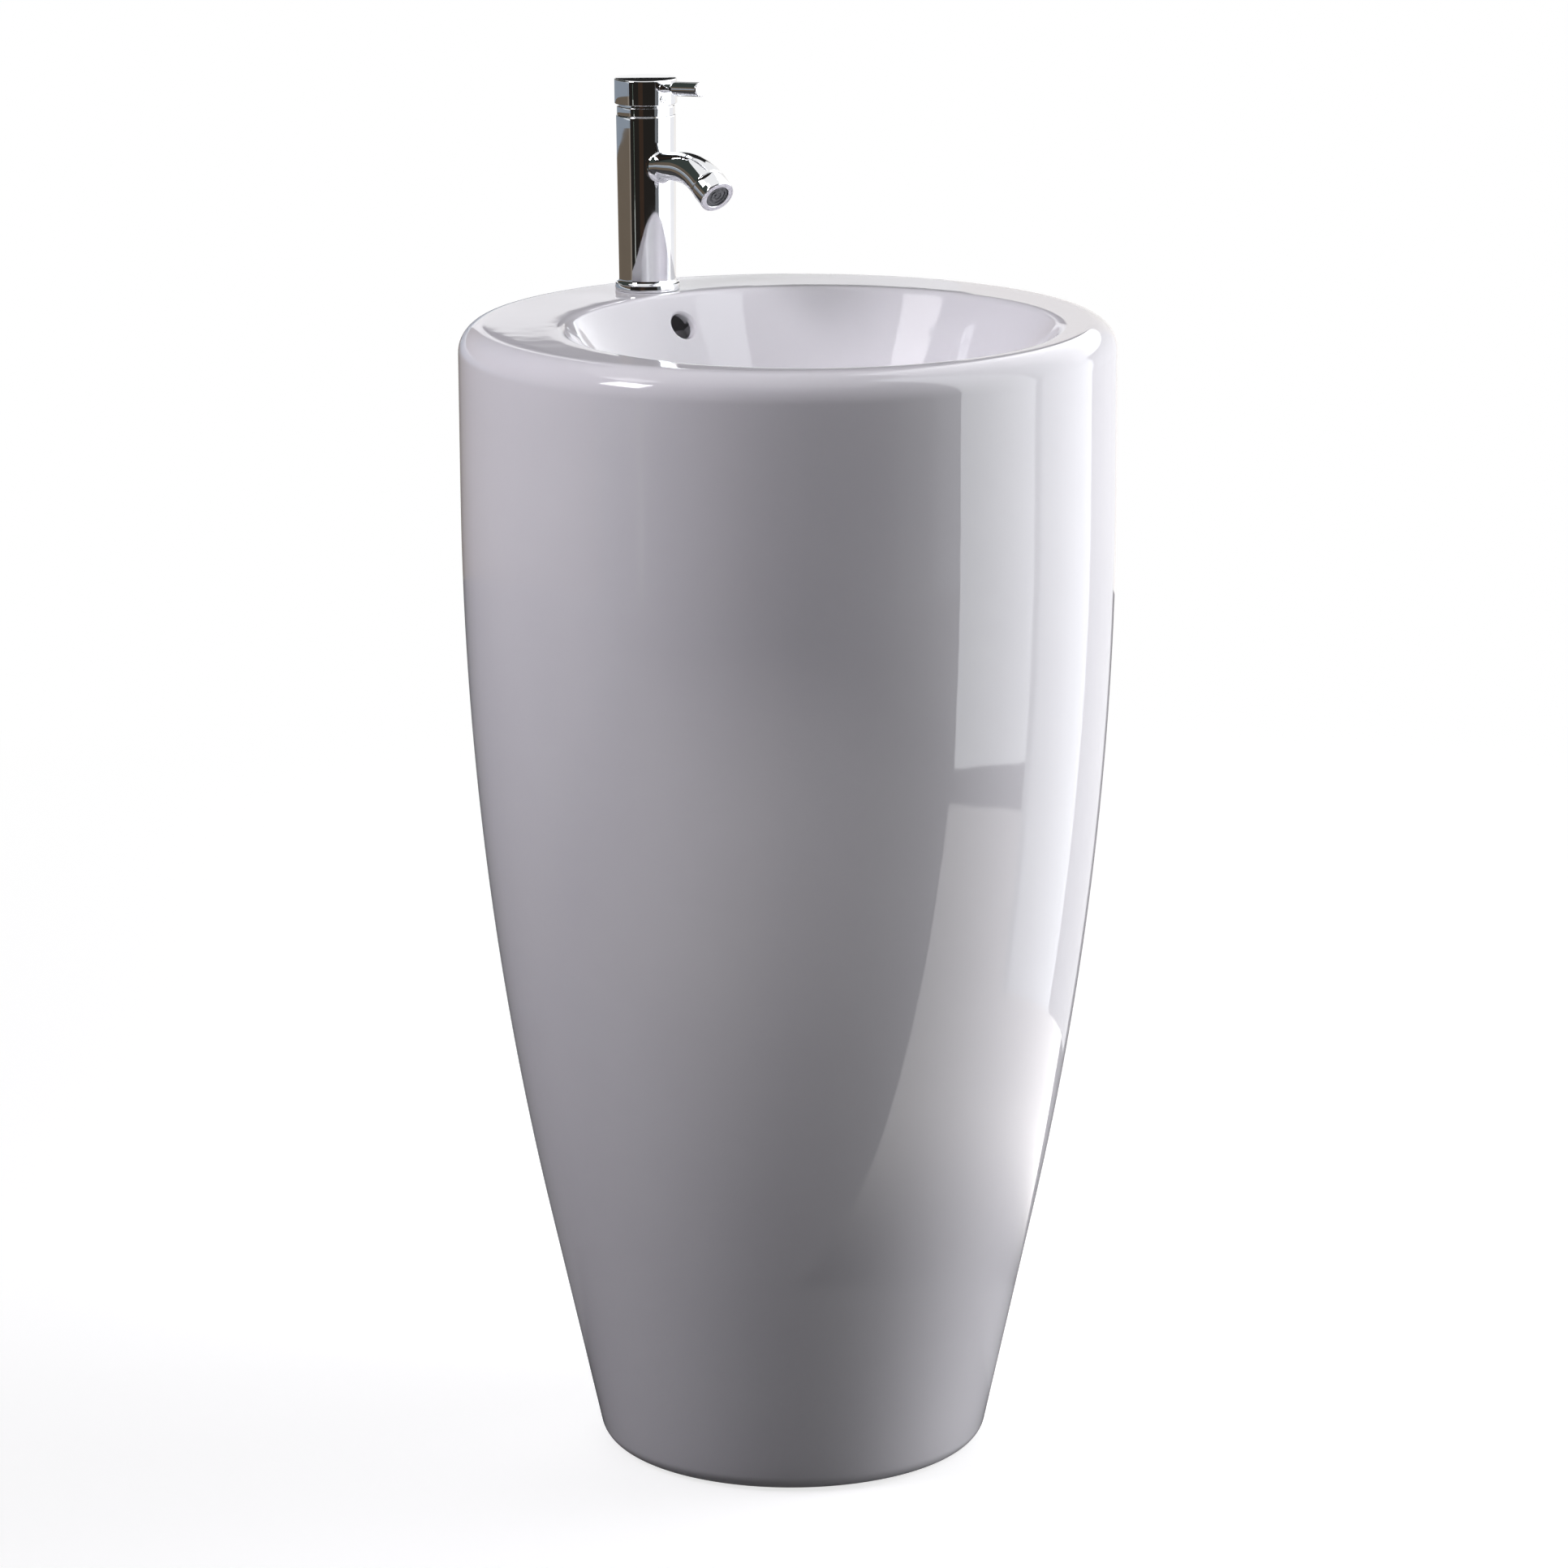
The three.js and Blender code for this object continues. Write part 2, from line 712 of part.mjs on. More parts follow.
// A round plate with a slot that is open at the back, where the two hoses pass.
function horseshoe(top) {
  const bottom = top - clampThickness;
  const half = hosePortSpacing / 2 + hosePortRadius + hoseClearance;
  const front = hosePortBack - hosePortRadius - clampFront + clampCorner;
  const slot = extruded(shapeOf([
    [half, clampRadius * 2],
    [-half, clampRadius * 2],
    ...arc([-half + clampCorner, front], clampCorner, PI, 1.5 * PI, 4),
    ...arc([half - clampCorner, front], clampCorner, 1.5 * PI, 2 * PI, 4),
  ]), bottom - cutPast, top + cutPast);
  const hole = drill(studRadius + slideGap, bottom, top, boreFacets);
  return cut(rod(clampRadius, bottom, top), slot, shifted(hole, 0, -studForward, 0));
}

function makeFixing() {
  const washerTop = -deckThickness - seatGap;
  const plateTop = washerTop - clampThickness - seatGap;
  const nutTop = plateTop - clampThickness - seatGap;
  const nutBottom = nutTop - nutHeight;
  const nut = extruded(shapeOf(hexagon(nutAcrossFlats)), nutBottom, nutTop);
  const tapped = cut(nut, drill(studRadius + slideGap, nutBottom, nutTop, boreFacets));
  const studTop = studHole - studEndGap;
  const stud = rod(studRadius, studTop - studLength, studTop, boreFacets);
  addPiece(tap, 'rubber_washer', horseshoe(washerTop), 'rubber');
  addPiece(tap, 'clamp_plate', horseshoe(plateTop), 'steel');
  addPiece(tap, 'fixing_nut', shifted(tapped, 0, -studForward, 0), 'brass');
  addPiece(tap, 'fixing_stud', shifted(stud, 0, -studForward, 0), 'steel');
}

makeFixing();

// ---------------------------------------------------------------- aerator

// Local pieces are built with the tip's face at zero and the water running towards +Z.
function atTip(solid) {
  const [reach, height, angle] = spoutPoint(spoutLength);
  return aimed(solid, cos(angle), sin(angle), -reach, height);
}

function makeAeratorHousing() {
  const mouth = aeratorBore - aeratorLip;
  const thread = aeratorBore - aeratorThreadWall;
  const end = -aeratorLength - aeratorThread;
  const shell = turned([
    [mouth, 0],
    [aeratorRadius - aeratorEdge, 0],
    [aeratorRadius, -aeratorEdge],
    [aeratorRadius, -aeratorLength],
    [aeratorBore, -aeratorLength],
    [aeratorBore, end],
    [thread, end],
    [thread, -aeratorLength],
    [mouth, -aeratorLength],
  ]);
  const width = 2 * aeratorRadius;
  const middle = aeratorFlatLift + aeratorFlatLength / 2 - aeratorLength;
  const flats = [-1, 1].map((side) => {
    const block = box(width, width, aeratorFlatLength, side * (width - aeratorFlatDepth), 0, middle);
    return block.rotate([0, 0, aeratorFlatTurn / degrees]);
  });
  return cut(shell, ...flats);
}

const insertRadius = aeratorBore - aeratorLip - slideGap;

function makeAeratorInsert() {
  const grooves = insertGrooves.flatMap((inner) => [
    [inner, -insertSink],
    [inner, -insertSink - insertGroove],
    [inner + insertGrooveWidth, -insertSink - insertGroove],
    [inner + insertGrooveWidth, -insertSink],
  ]);
  return turned([
    [0, -insertSink],
    ...grooves,
    [insertRadius, -insertSink + insertEdge],
    [insertRadius, -insertLength],
    [0, -insertLength],
  ]);
}

function makeAerator() {
  const washerTop = -insertLength - seatGap;
  const inner = insertRadius - insertWasherWidth;
  const washer = ring(insertRadius, inner, washerTop - insertWasher, washerTop);
  addPiece(tap, 'aerator_housing', atTip(makeAeratorHousing()), 'chrome');
  addPiece(tap, 'aerator_insert', atTip(makeAeratorInsert()), 'greyPlastic');
  addPiece(tap, 'aerator_washer', atTip(washer), 'rubber');
}

makeAerator();

// ---------------------------------------------------------------- mixing cartridge

const capBottom = tapHeight + seatGap + trimHeight + capGap;
const pivotHeight = capBottom - pivotBelowCap;
const bodyFloor = cartridgeSeat + seatGap + cartridgeWall;
const fixedDiscBottom = bodyFloor + seatGap;
const movingDiscBottom = fixedDiscBottom + discThickness + seatGap;
const movingDiscTop = movingDiscBottom + discThickness;
const turretBottom = movingDiscTop + seatGap;
const turretTop = cartridgeTop + turretStandout;
const stemTop = capBottom + leverAxisInCap + stemPastLever;

function makeCartridgeBody() {
  const bottom = cartridgeSeat + seatGap;
  const inside = cartridgeRadius - cartridgeWall;
  const mouth = turretNeckRadius + turnGap;
  const shell = turned([
    [0, bottom],
    [cartridgeRadius, bottom],
    [cartridgeRadius, cartridgeTop],
    [mouth, cartridgeTop],
    [mouth, cartridgeTop - cartridgeWall],
    [inside, cartridgeTop - cartridgeWall],
    [inside, bodyFloor],
    [0, bodyFloor],
  ]);
  const port = drill(cartridgePort, bottom, bodyFloor, boreFacets);
  return cut(shell, ...besideAxis(port), shifted(port, 0, -outletForward, 0));
}

function makeFixedDisc() {
  const top = fixedDiscBottom + discThickness;
  const port = drill(discPort, fixedDiscBottom, top, boreFacets);
  const disc = rod(fixedDiscRadius, fixedDiscBottom, top);
  return cut(disc, ...besideAxis(port), shifted(port, 0, -outletForward, 0));
}

function makeMovingDisc() {
  const floor = movingDiscBottom + movingDiscFloor;
  const socket = rod(ballRadius + slideGap, floor, movingDiscTop + cutPast, boreFacets);
  return cut(rod(movingDiscRadius, movingDiscBottom, movingDiscTop), socket);
}

// A pin across the turret, on the axis about which the lever tilts.
function pinAcross(radius, length) {
  const pin = rod(radius, -length / 2, length / 2, boreFacets);
  return shifted(pin.rotate([0, 90, 0]), 0, 0, pivotHeight);
}

function makeTurret() {
  const shoulder = cartridgeTop - cartridgeWall - seatGap;
  const block = turned([
    [0, turretBottom],
    [turretRadius, turretBottom],
    [turretRadius, shoulder],
    [turretNeckRadius, shoulder],
    [turretNeckRadius, turretTop],
    [0, turretTop],
  ]);
  const height = turretTop - turretBottom;
  const slotWidth = stemSize + 2 * turnGap;
  const slotLength = 2 * (turretNeckRadius - turretSlotWall);
  const middle = (turretBottom + turretTop) / 2;
  const slot = box(slotWidth, slotLength, height + 2 * cutPast, 0, 0, middle);
  return cut(block, slot, pinAcross(pinRadius + pinGap, 2 * turretRadius));
}

// The square stem, its hub on the pin, and the ball-ended arm that drives the moving disc.
function makeStem() {
  const middle = (stemTop + pivotHeight) / 2;
  const shaft = box(stemSize, stemSize, stemTop - pivotHeight, 0, 0, middle);
  const hub = pinAcross(stemSize / 2 + stemHubWall, stemSize);
  const ballHeight = movingDiscTop - ballSink;
  const arm = rod(stemArmRadius, ballHeight, pivotHeight, boreFacets);
  const sphere = new THREE.SphereGeometry(ballRadius, 12, 8).rotateX(PI / 2);
  const ball = solidOf(sphere.translate(0, 0, ballHeight));
  return cut(joined(shaft, hub, arm, ball), pinAcross(pinRadius + slideGap, 2 * stemSize));
}

function makeCartridge() {
  const nutBottom = cartridgeTop + seatGap;
  const nutTop = nutBottom + cartridgeNutHeight;
  const nut = ring(threadRadius - slideGap, cartridgeNutInner, nutBottom, nutTop);
  const pinLength = 2 * (turretNeckRadius - pinSink);
  addPiece(tap, 'cartridge_body', makeCartridgeBody(), 'greyPlastic');
  addPiece(tap, 'fixed_disc', makeFixedDisc(), 'disc');
  addPiece(tap, 'moving_disc', makeMovingDisc(), 'disc');
  addPiece(tap, 'cartridge_turret', makeTurret(), 'greyPlastic');
  addPiece(tap, 'pivot_pin', pinAcross(pinRadius, pinLength), 'steel');
  addPiece(tap, 'cartridge_stem', makeStem(), 'brass');
  addPiece(tap, 'cartridge_nut', nut, 'brass');
}

makeCartridge();

// ---------------------------------------------------------------- trim ring, cap and lever

function makeTrimRing() {
  const bottom = tapHeight + seatGap;
  const top = bottom + trimHeight;
  const lip = threadRadius + trimLip;
  return turned([
    [threadRadius, bottom],
    [trimRadius - trimBreak, bottom],
    [trimRadius, bottom + trimBreak],
    [trimRadius, top - trimBreak],
    [trimRadius - trimBreak, top],
    [lip, top],
    [lip - trimBreak, top + capGap],
    [threadRadius, top + capGap],
  ]);
}

// Places a solid built along +Z on the lever's line, which rises towards the user.
function onLever(solid) {
  return aimed(solid, cos(leverRise), sin(leverRise), 0, capBottom + leverAxisInCap);
}

// Places a solid built along +Z on the line of the grub screw and its plug.
function onScrew(solid) {
  return aimed(solid, 1, 0, 0, capBottom + plugInCap);
}

// The space inside the skirt, tall enough for the tilting cap to clear the trim ring.
function capRoom() {
  const inside = capRadius - capWall;
  const ceiling = pivotHeight + hypot(inside, pivotBelowCap) + seatGap;
  return [inside, ceiling];
}

function capBlock() {
  const top = capBottom + capHeight;
  const edge = arc([capRadius - capEdge, top - capEdge], capEdge, 0, PI / 2, 2);
  return turned([
    [0, capBottom],
    [capRadius - capBreak, capBottom],
    [capRadius, capBottom + capBreak],
    ...edge,
    [0, top],
  ]);
}

// The cap's inner boss round the square stem, and the lug that holds the grub screw.
function capBoss(ceiling) {
  const bottom = capBottom + bossLift;
  const top = ceiling + joinSink;
  const boss = rod(stemSize / 2 + bossWall, bottom, top, boreFacets);
  const lug = box(lugWidth, lugWidth, top - bottom, 0, -lugForward, (top + bottom) / 2);
  return joined(boss, lug);
}

function makeCap() {
  const [inside, ceiling] = capRoom();
  const shell = cut(capBlock(), rod(inside, capBottom - cutPast, ceiling));
  const padDepth = plugDepth - capWall + joinSink;
  const pad = rod(plugRadius + joinSink, inside - padDepth, inside + joinSink / 2, boreFacets);
  const hole = stemSize + 2 * slideGap;
  const holeTop = stemTop + seatGap;
  const socket = box(hole, hole, capHeight, 0, 0, holeTop - capHeight / 2);
  const seat = capRadius - plugDepth - seatGap;
  return cut(
    joined(shell, capBoss(ceiling), onScrew(pad)),
    socket,
    onScrew(rod(screwRadius + slideGap, 0, seat + joinSink, boreFacets)),
    onScrew(rod(plugRadius + pinGap, seat, capRadius + cutPast, boreFacets)),
    onLever(rod(leverPinRadius + slideGap, capRadius / 2, capRadius + cutPast, boreFacets)),
  );
}

function makeLever() {
  const pinEnd = capRadius / 2 + seatGap;
  const neck = capRadius + joinSink;
  return onLever(turned([
    [0, pinEnd],
    [leverPinRadius, pinEnd],
    [leverPinRadius, neck],
    [leverNeckRadius, neck],
    [leverNeckRadius, leverNeckReach - leverFlare / 2],
    [leverRodRadius, leverNeckReach + leverFlare / 2],
    [leverRodRadius, leverReach - leverEdge],
    [leverRodRadius - leverEdge, leverReach],
    [0, leverReach],
  ]));
}

function makeGrubScrew() {
  const start = stemSize / 2 + slideGap;
  const end = start + screwLength;
  const key = extruded(shapeOf(hexagon(screwKey)), end - screwKeyDepth, end + cutPast);
  return onScrew(cut(rod(screwRadius, start, end, boreFacets), key));
}

function makeIndexPlug() {
  return onScrew(turned([
    [0, capRadius - plugDepth],
    [plugRadius, capRadius - plugDepth],
    [plugRadius, capRadius],
    [plugRadius - plugRim, capRadius + plugCrown],
    [0, capRadius + plugCrown],
  ], boreFacets));
}

addPiece(tap, 'trim_ring', makeTrimRing(), 'chrome');
addPiece(tap, 'handle_cap', makeCap(), 'chrome');
addPiece(tap, 'lever_rod', makeLever(), 'chrome');
addPiece(tap, 'grub_screw', makeGrubScrew(), 'steel');
addPiece(tap, 'index_plug', makeIndexPlug(), 'chrome');

// ---------------------------------------------------------------- click waste

const flangeBottom = drainSeat + gasketThickness + 2 * seatGap;
const flangeTop = flangeBottom + wasteFlangeThickness;
const wasteEnd = flangeBottom - wasteLength;
const threadHole = wasteThreadRadius + slideGap;
const bridgeTop = flangeTop - bridgeDepth + bridgeThickness / 2;
const sleeveTop = bridgeTop + seatGap;

function makeWasteBody() {
  const shell = turned([
    [wasteBore, wasteEnd],
    [wasteThreadRadius, wasteEnd],
    [wasteThreadRadius, flangeBottom],
    [wasteFlangeRadius - wasteFlangeEdge, flangeBottom],
    [wasteFlangeRadius, flangeBottom + wasteFlangeEdge],
    [wasteFlangeRadius - wasteFlangeSlope, flangeTop],
    [wasteBore + wasteMouth, flangeTop],
    [wasteBore, flangeTop - wasteMouthDepth],
  ], drainFacets);
  const bridge = bridgeTop - bridgeThickness / 2;
  const armLength = 2 * (wasteBore + joinSink);
  const arms = [0, 60, 120].map((turn) => (
    box(armLength, bridgeArm, bridgeThickness, 0, 0, bridge).rotate([0, 0, turn])
  ));
  const hub = rod(clickRadius + bridgeHubWall, bridgeTop - bridgeThickness, bridgeTop, boreFacets);
  const duct = bowlFloor - bowlWall - ductHeight / 2;
  const slots = [0, 90].map((turn) => (
    box(3 * wasteThreadRadius, wasteSlotWidth, ductHeight, 0, 0, duct).rotate([0, 0, turn])
  ));
  const hole = drill(clickRadius - clickStep + slideGap, bridgeTop - bridgeThickness, bridgeTop, boreFacets);
  return cut(joined(cut(shell, ...slots), ...arms, hub), hole);
}

function makeClick() {
  const step = clickRadius - clickStep;
  const bore = spindleRadius + turnGap;
  return turned([
    [bore, sleeveTop - clickLength],
    [step, sleeveTop - clickLength],
    [step, sleeveTop],
    [clickRadius, sleeveTop],
    [clickRadius, sleeveTop + clickHead],
    [bore, sleeveTop + clickHead],
  ], boreFacets);
}

// The cap, its spindle, and the grooved holder of the ring that closes the bore.
const capUnderside = flangeTop + seatGap;
const holderRadius = wasteBore - plugHolderInset;
const grooveTop = capUnderside - plugHolderStep;
const grooveBottom = grooveTop - plugSealThickness - 2 * seatGap;

function makePlug() {
  const top = capUnderside + plugCapThickness;
  const crown = plugCapRadius - plugCapEdge;
  const dome = arc([0, top - plugCapDome], plugCapDome, acos(crown / plugCapDome), PI / 2, 3);
  const spindleEnd = sleeveTop - plugTravel - spindleGuide;
  const lip = wasteBore - plugHolderLip;
  return turned([
    [0, spindleEnd],
    [spindleRadius, spindleEnd],
    [spindleRadius, grooveBottom - plugHolderStep],
    [lip, grooveBottom - plugHolderStep],
    [lip, grooveBottom],
    [holderRadius, grooveBottom],
    [holderRadius, grooveTop],
    [lip, grooveTop],
    [lip, capUnderside],
    [crown, capUnderside],
    [plugCapRadius, capUnderside + plugCapEdge],
    ...dome,
  ], drainFacets);
}

function makeConicalWasher() {
  const top = drainBossBottom - seatGap;
  const bottom = top - backWasherHeight;
  return turned([
    [threadHole, bottom],
    [wasteThreadRadius + backWasherReach, bottom],
    [wasteThreadRadius + backWasherReach, bottom + backWasherUpright],
    [wasteThreadRadius + backWasherTop, top],
    [threadHole, top],
  ], drainFacets);
}

function makeBackNut(top) {
  const bottom = top - backNutHeight;
  const hex = extruded(shapeOf(hexagon(backNutAcrossFlats)), bottom, top);
  return cut(hex, drill(threadHole, bottom, top, drainFacets));
}

function makeWaste() {
  const gasketRadius = wasteFlangeRadius - gasketInset;
  const gasketTop = flangeBottom - seatGap;
  const gasket = ring(gasketRadius, threadHole, drainSeat + seatGap, gasketTop, drainFacets);
  const sealInside = holderRadius + seatGap;
  const sealTop = grooveTop - seatGap;
  const sealBottom = sealTop - plugSealThickness;
  const seal = ring(sealInside + plugSealReach, sealInside, sealBottom, sealTop, drainFacets);
  const washerTop = drainBossBottom - backWasherHeight - 2 * seatGap;
  const washerBottom = washerTop - slideWasherThickness;
  const washerRadius = wasteThreadRadius + backWasherReach;
  const slideWasher = ring(washerRadius, threadHole, washerBottom, washerTop, drainFacets);
  addPiece(drain, 'waste_body', makeWasteBody(), 'chrome');
  addPiece(drain, 'flange_gasket', gasket, 'rubber');
  addPiece(drain, 'plug_cap', makePlug(), 'chrome');
  addPiece(drain, 'plug_seal', seal, 'rubber');
  addPiece(drain, 'click_cartridge', makeClick(), 'brass');
  addPiece(drain, 'conical_washer', makeConicalWasher(), 'rubber');
  addPiece(drain, 'slide_washer', slideWasher, 'steel');
  addPiece(drain, 'back_nut', makeBackNut(washerBottom - seatGap), 'brass');
}

makeWaste();

// ---------------------------------------------------------------- bottle trap

const trapTop = wasteEnd - trapBelowWaste;
const trapBodyBottom = trapTop - trapBodyHeight;
const trapInside = trapRadius - trapWall;
const trapNeck = trapNutRadius - trapNutWall - slideGap;
const pipeHole = pipeRadius + slideGap;
const outletHeight = trapTop - trapOutletBelow;
const outletFace = trapRadius + trapOutletLength;
const cupTop = trapBodyBottom + trapThreadHeight - seatGap;
const cupBottom = cupTop - trapCupHeight;

// A round nut with a lip at zero that bears on a washer or flange, and a grooved grip.
function unionNut(thread) {
  const reach = thread + trapNutWall;
  const nut = turned([
    [pipeHole, 0],
    [reach - trapNutWall, 0],
    [reach, trapNutWall],
    [reach, trapNutHeight],
    [thread, trapNutHeight],
    [thread, trapNutLip],
    [pipeHole, trapNutLip],
  ], drainFacets);
  const gripLength = trapNutHeight - trapNutWall - gripEnd;
  const middle = trapNutHeight - gripEnd - gripLength / 2;
  const groove = box(2 * gripDepth, gripWidth, gripLength, reach, 0, middle);
  const grooves = Array.from({ length: gripCount }, (_, i) => (
    groove.rotate([0, 0, i * 360 / gripCount])
  ));
  return cut(nut, ...grooves);
}

function makeTrapBody() {
  const shoulder = trapTop - trapNeckHeight - trapShoulder;
  const block = turned([
    [0, trapBodyBottom],
    [trapInside, trapBodyBottom],
    [trapInside, trapBodyBottom + trapThreadHeight],
    [trapRadius, trapBodyBottom + trapThreadHeight],
    ...arc([trapRadius - trapShoulder, shoulder], trapShoulder, 0, PI / 2, 3),
    [trapNeck, trapTop - trapNeckHeight],
    [trapNeck, trapTop],
    [0, trapTop],
  ], drainFacets);
  const stub = rod(trapNeck, trapInside - trapWall, outletFace, drainFacets);
  const roof = trapTop - trapNeckHeight - trapRoof;
  const room = rod(trapInside - trapWall, trapBodyBottom - cutPast, roof, drainFacets);
  const throat = drill(pipeHole, trapBodyBottom, trapTop, drainFacets);
  const bore = rod(pipeHole, pipeRadius, outletFace + cutPast, drainFacets);
  return cut(joined(block, alongOutlet(stub)), room, throat, alongOutlet(bore));
}

// Places a solid built along +Z on the outlet's line, which runs back to the wall.
function alongOutlet(solid) {
  return aimed(solid, -1, 0, 0, outletHeight);
}

function makeTrapCup() {
  const inside = trapInside + slideGap;
  const outside = inside + trapWall;
  const round = trapCupRound - trapWall;
  return turned([
    [0, cupBottom],
    ...arc([outside - trapCupRound, cupBottom + trapCupRound], trapCupRound, -PI / 2, 0, 3),
    [outside, cupTop],
    [inside, cupTop],
    ...arc([inside - round, cupBottom + trapCupRound], round, 0, -PI / 2, 3),
    [0, cupBottom + trapWall],
  ], drainFacets);
}

// The pipe from the waste into the trap, hung by a flange that its union nut lifts.
function makeTailpiece(top) {
  const bore = pipeRadius - pipeWall;
  const flange = top - tailFlangeThickness;
  return turned([
    [bore, cupBottom + tailAboveCup],
    [pipeRadius, cupBottom + tailAboveCup],
    [pipeRadius, flange],
    [pipeRadius + tailFlange, flange],
    [pipeRadius + tailFlange, top],
    [bore, top],
  ], drainFacets);
}

function makeInlet() {
  const washerTop = wasteEnd - seatGap;
  const tailTop = washerTop - pipeWasher - seatGap;
  const tailNutBottom = tailTop - tailFlangeThickness - seatGap - trapNutLip;
  const tailWasher = ring(pipeRadius + tailFlange, pipeHole, washerTop - pipeWasher, washerTop, drainFacets);
  const inletWasherTop = trapTop + seatGap + pipeWasher;
  const inletWasher = ring(trapNeck, pipeHole, trapTop + seatGap, inletWasherTop, drainFacets);
  const inletNut = unionNut(trapNeck + slideGap).rotate([180, 0, 0]);
  const inletNutTop = inletWasherTop + seatGap + trapNutLip;
  addPiece(drain, 'tail_washer', tailWasher, 'rubber');
  addPiece(drain, 'tailpiece', makeTailpiece(tailTop), 'whitePlastic');
  addPiece(drain, 'tail_nut', shifted(unionNut(threadHole), 0, 0, tailNutBottom), 'whitePlastic');
  addPiece(drain, 'inlet_washer', inletWasher, 'rubber');
  addPiece(drain, 'inlet_nut', shifted(inletNut, 0, 0, inletNutTop), 'whitePlastic');
}

function makeOutlet() {
  const washerEnd = outletFace + seatGap + pipeWasher;
  const washer = ring(trapNeck, pipeHole, outletFace + seatGap, washerEnd, drainFacets);
  const nut = unionNut(trapNeck + slideGap).rotate([180, 0, 0]);
  const nutEnd = washerEnd + seatGap + trapNutLip;
  const pipe = ring(pipeRadius, pipeRadius - pipeWall, trapRadius, outletBack + bowlForward, drainFacets);
  addPiece(drain, 'outlet_washer', alongOutlet(washer), 'rubber');
  addPiece(drain, 'outlet_nut', alongOutlet(shifted(nut, 0, 0, nutEnd)), 'whitePlastic');
  addPiece(drain, 'outlet_pipe', alongOutlet(pipe), 'whitePlastic');
}

function makeTrap() {
  const sealTop = trapBodyBottom - seatGap;
  const seal = ring(trapInside, trapInside - cupSealWidth, sealTop - cupSealHeight, sealTop, drainFacets);
  addPiece(drain, 'trap_body', makeTrapBody(), 'whitePlastic');
  addPiece(drain, 'cup_seal', seal, 'rubber');
  addPiece(drain, 'trap_cup', makeTrapCup(), 'whitePlastic');
  makeInlet();
  makeOutlet();
}

makeTrap();

export default product;
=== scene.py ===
# Looks of the round pedestal washbasin, its mixer, click waste and bottle trap.
# +Z is up, the floor is z = 0, the user stands at -Y and the tap is at +Y. Pieces are sized in
# millimetres, and the camera, the floor and the lights are placed in metres.
import json
from math import acos, atan2, ceil, cos, hypot, pi, radians, sin, sqrt, tan

import bpy
from mathutils import Matrix, Vector


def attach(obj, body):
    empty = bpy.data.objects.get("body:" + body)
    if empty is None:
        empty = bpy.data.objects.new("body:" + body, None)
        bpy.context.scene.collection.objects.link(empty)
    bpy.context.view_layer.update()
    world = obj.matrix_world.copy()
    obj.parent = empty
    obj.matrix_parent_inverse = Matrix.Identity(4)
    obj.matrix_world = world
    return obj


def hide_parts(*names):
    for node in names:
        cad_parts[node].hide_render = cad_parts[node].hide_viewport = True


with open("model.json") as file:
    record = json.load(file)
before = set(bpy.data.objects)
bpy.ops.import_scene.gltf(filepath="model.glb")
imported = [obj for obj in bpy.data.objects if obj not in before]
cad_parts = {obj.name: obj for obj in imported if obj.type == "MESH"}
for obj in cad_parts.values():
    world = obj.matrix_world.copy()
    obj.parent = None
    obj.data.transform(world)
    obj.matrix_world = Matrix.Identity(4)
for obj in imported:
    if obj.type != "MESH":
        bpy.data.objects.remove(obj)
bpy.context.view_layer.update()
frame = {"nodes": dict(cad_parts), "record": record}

record = frame["record"]
body_of_node = {n: body for body, names in record["behaviour"]["bodies"].items() for n in names}
slot_of_node = {row["node"]: row["material_slot"] for row in record["subparts"]}

# ---- driving sizes

MM = 0.001
BOWL_FORWARD = 30.4
RIM_HEIGHT = 850.0
TAP_BACK = 183.0
PAST = 3.0        # how far a cutter reaches past the face that it opens
POLE = 1e-6       # a ring narrower than this is a single point
EDGE_SHARE = 0.49  # how much of an edge the arc at one of its corners may take


# ---- outline helpers

def between(first, last, steps):
    """Evenly spaced values from first to last."""
    return [first + (last - first) * i / steps for i in range(steps + 1)]


def arc(centre, radius, start, end, steps):
    """Points of an arc, with its angles in radians."""
    return [(centre[0] + radius * cos(a), centre[1] + radius * sin(a))
            for a in between(start, end, steps)]


def rounded(corners, steps=4, closed=True):
    """An outline from (r, z) corners, or (r, z, round) for an arc of that radius."""
    out = []
    count = len(corners)
    for i, corner in enumerate(corners):
        here = Vector(corner[:2])
        size = corner[2] if len(corner) > 2 else 0
        if not size or (not closed and i in (0, count - 1)):
            out.append(tuple(here))
            continue
        before = Vector(corners[i - 1][:2]) - here
        after = Vector(corners[(i + 1) % count][:2]) - here
        half = before.angle(after) / 2
        reach = min(size / tan(half), EDGE_SHARE * before.length, EDGE_SHARE * after.length)
        size = reach * tan(half)
        before.normalize()
        after.normalize()
        centre = here + (before + after).normalized() * (size / sin(half))
        first = here + before * reach - centre
        last = here + after * reach - centre
        turn = atan2(first.x * last.y - first.y * last.x, first.dot(last))
        start = atan2(first.y, first.x)
        out += arc(centre, size, start, start + turn, steps)
    return out


def dense(points, longest):
    """The same open outline with its long stretches split."""
    out = [points[0]]
    for (r0, z0), (r1, z1) in zip(points, points[1:]):
        parts = max(1, ceil(hypot(r1 - r0, z1 - z0) / longest))
        out += list(zip(between(r0, r1, parts), between(z0, z1, parts)))[1:]
    return out


# ---- mesh helpers

def new_mesh(name, verts, faces):
    mesh = bpy.data.meshes.new(name)
    mesh.from_pydata(verts, [], faces)
    return mesh


def new_object(name, data):
    thing = bpy.data.objects.new(name, data)
    bpy.context.scene.collection.objects.link(thing)
    return thing


